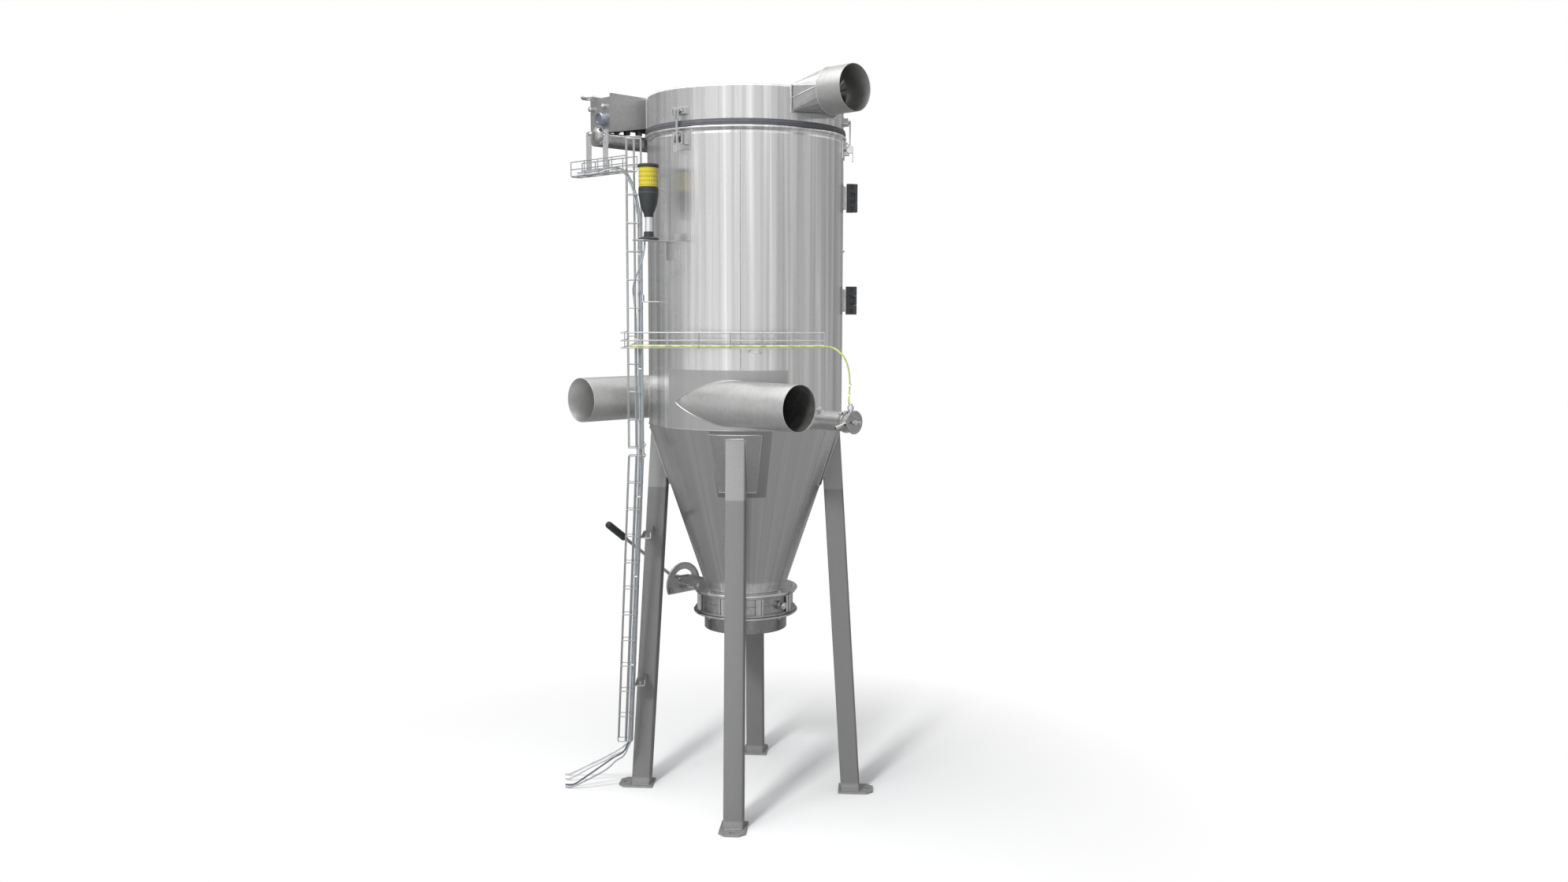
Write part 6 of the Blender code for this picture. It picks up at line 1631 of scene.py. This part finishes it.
def sensor_glands(end):
    """Upright gland with its nut, slanting gland on the tube, and the connector at the side."""
    small = Shape()
    for radius, low, high, sides in (
            (0.0135, 0.022, 0.031, 6), (0.0095, 0.03, 0.046, 24), (0.0115, 0.044, 0.056, 6)):
        small.rod(radius, (-0.021, 0, low), (-0.021, 0, high), end, sides)
    small.rod(0.008, (-0.021, 0, 0.055), (-0.021, 0, 0.064), end, 24, tip=0.006)
    for radius, start, stop, sides in (
            (0.015, (-0.151, -0.01, 0.018), (-0.151, -0.0165, 0.03), 24),
            (0.012, (-0.151, -0.016, 0.029), (-0.151, -0.0235, 0.043), 6),
            (0.009, (-0.04, -0.026, 0.026), (-0.04, -0.031, 0.035), 6),
            (0.01, (-0.022, -0.018, -0.005), (-0.028, -0.036, -0.01), 6),
            (0.007, (-0.028, -0.034, -0.0095), (-0.036, -0.062, -0.018), 24)):
        small.rod(radius, start, stop, end, sides)
    small.piece("sensor_fittings", "bright", bevel=0.0006, cutters=[
        Shape().rod(0.0048, (-0.03, -0.042, -0.012), (-0.038, -0.07, -0.0205), end, 20)])


# ---------------------------------------------------------------- cables
BUNDLE_ROUTE = (               # tray frame, as in the CAD
    (-0.6096, -0.0343, 2.3235), (-0.5442, -0.1031, 2.3235), (-0.5181, -0.1307, 2.325),
    (-0.485, -0.159, 2.33), (-0.4527, -0.1472, 2.33), (-0.43, -0.152, 2.318),
    (-0.41, -0.157, 2.285), (-0.395, -0.157, 2.24), (-0.384, -0.157, 2.18),
    (-0.3813, -0.157, 2.1), (-0.3813, -0.157, 1.7), (-0.3813, -0.157, 1.4),
    (-0.3825, -0.155, 1.31), (-0.39, -0.1425, 1.15), (-0.412, -0.103, 0.73),
    (-0.4396, -0.0545, CABLE_END_Z))
BEACON_ROUTE = (
    (-0.348, -0.33, 2.0656), (-0.35, -0.328, 2.04), (-0.362, -0.31, 1.99), (-0.385, -0.26, 1.945),
    (-0.4, -0.2, 1.905), (-0.399, -0.172, 1.86), (-0.3935, -0.171, 1.8), (-0.3925, -0.171, 1.7),
    (-0.3925, -0.171, 1.4), (-0.3935, -0.169, 1.31), (-0.401, -0.1565, 1.15), (-0.423, -0.117, 0.73),
    (-0.451, -0.068, CABLE_END_Z))
SENSOR_ROUTE = (
    (-0.398, -0.212, 1.71), (-0.398, -0.3, 1.7095), (-0.396, -0.385, 1.7095), (-0.386, -0.418, 1.7095),
    (-0.345, -0.43, 1.7095), (-0.1, -0.43, 1.7095), (0.2, -0.43, 1.7095), (0.262, -0.43, 1.71),
    (0.305, -0.428, 1.7), (0.335, -0.425, 1.672), (0.352, -0.418, 1.63), (0.358, -0.405, 1.58),
    (0.3565, -0.392, 1.545), (0.3565, -0.3875, 1.5095))
BUNDLE_FINISHES = ("light_cable", "grey_cable", "earth", "grey_cable")
SENSOR_LINES = (("earth", -0.0024, 0.0029), ("light_cable", 0.003, 0.0024))
SENSOR_TIES, BUNDLE_TIES = (0.855, 0.93), (2.02, 1.62, 1.15, 0.86, 0.52)
TRAY_FLOOR_TOP = 2.29          # above this the bundle lies in the hanging tray


def route(points, count):
    return [TURN @ point for point in smooth(points, count)]


def beside_route(points, offset, first_side):
    """The route moved sideways by a fixed offset across its own direction, carried up from its end."""
    run = points[::-1]
    side = Vector(first_side)
    made = []
    for i, point in enumerate(run):
        ahead = (run[min(i + 1, len(run) - 1)] - run[max(i - 1, 0)]).normalized()
        side = (side - ahead * side.dot(ahead)).normalized()
        made.append(point + side * offset[0] + side.cross(ahead) * offset[1])
    return made[::-1]


def tie(shape, line, index, radius, half):
    ahead = (line[index + 1] - line[index]).normalized()
    shape.rod(radius, line[index] - ahead * half, line[index] + ahead * half, sides=20)


def cables():
    bundle = route(BUNDLE_ROUTE, 240)
    for index, ((_, offset, _), finish) in enumerate(zip(LEADS, BUNDLE_FINISHES)):
        Shape().bar(beside_route(bundle, offset, (1, 0, 0)), 0.0029, 10).piece(
            f"riser_cable_{index + 1}", finish, replaces=["riser_cables"] if index == 0 else ())
    Shape().bar(route(BEACON_ROUTE, 200), CABLE_R, 10).piece(
        "beacon_lead", "grey_cable", replaces=["beacon_cable"])
    run = route(SENSOR_ROUTE, 200)
    for index, (finish, shift, radius) in enumerate(SENSOR_LINES):
        Shape().bar(beside_route(run, (shift, 0), (0, 1, 0)), radius, 10).piece(
            f"sensor_line_{index + 1}", finish, replaces=["sensor_cables"] if index == 0 else ())
    ties = Shape()
    for share in SENSOR_TIES:
        tie(ties, run, int(share * (len(run) - 1)), 0.0063, 0.0022)
    for z in BUNDLE_TIES:
        nearest = min(range(len(bundle)), key=lambda i: abs(bundle[i].z - z) + (bundle[i].z > TRAY_FLOOR_TOP))
        tie(ties, bundle, nearest, 0.0092, 0.002)
    ties.piece("cable_ties", "tie")


for make in (vessel, gasket_and_head, valve, moving_valve, quadrant, legs, inlets, outlet, filter_inside, door,
             clamps, beacon, cleaning_unit, riser_tray, middle_tray, tray_splice, leg_tray, unit_tray, sensor,
             cables):
    make()
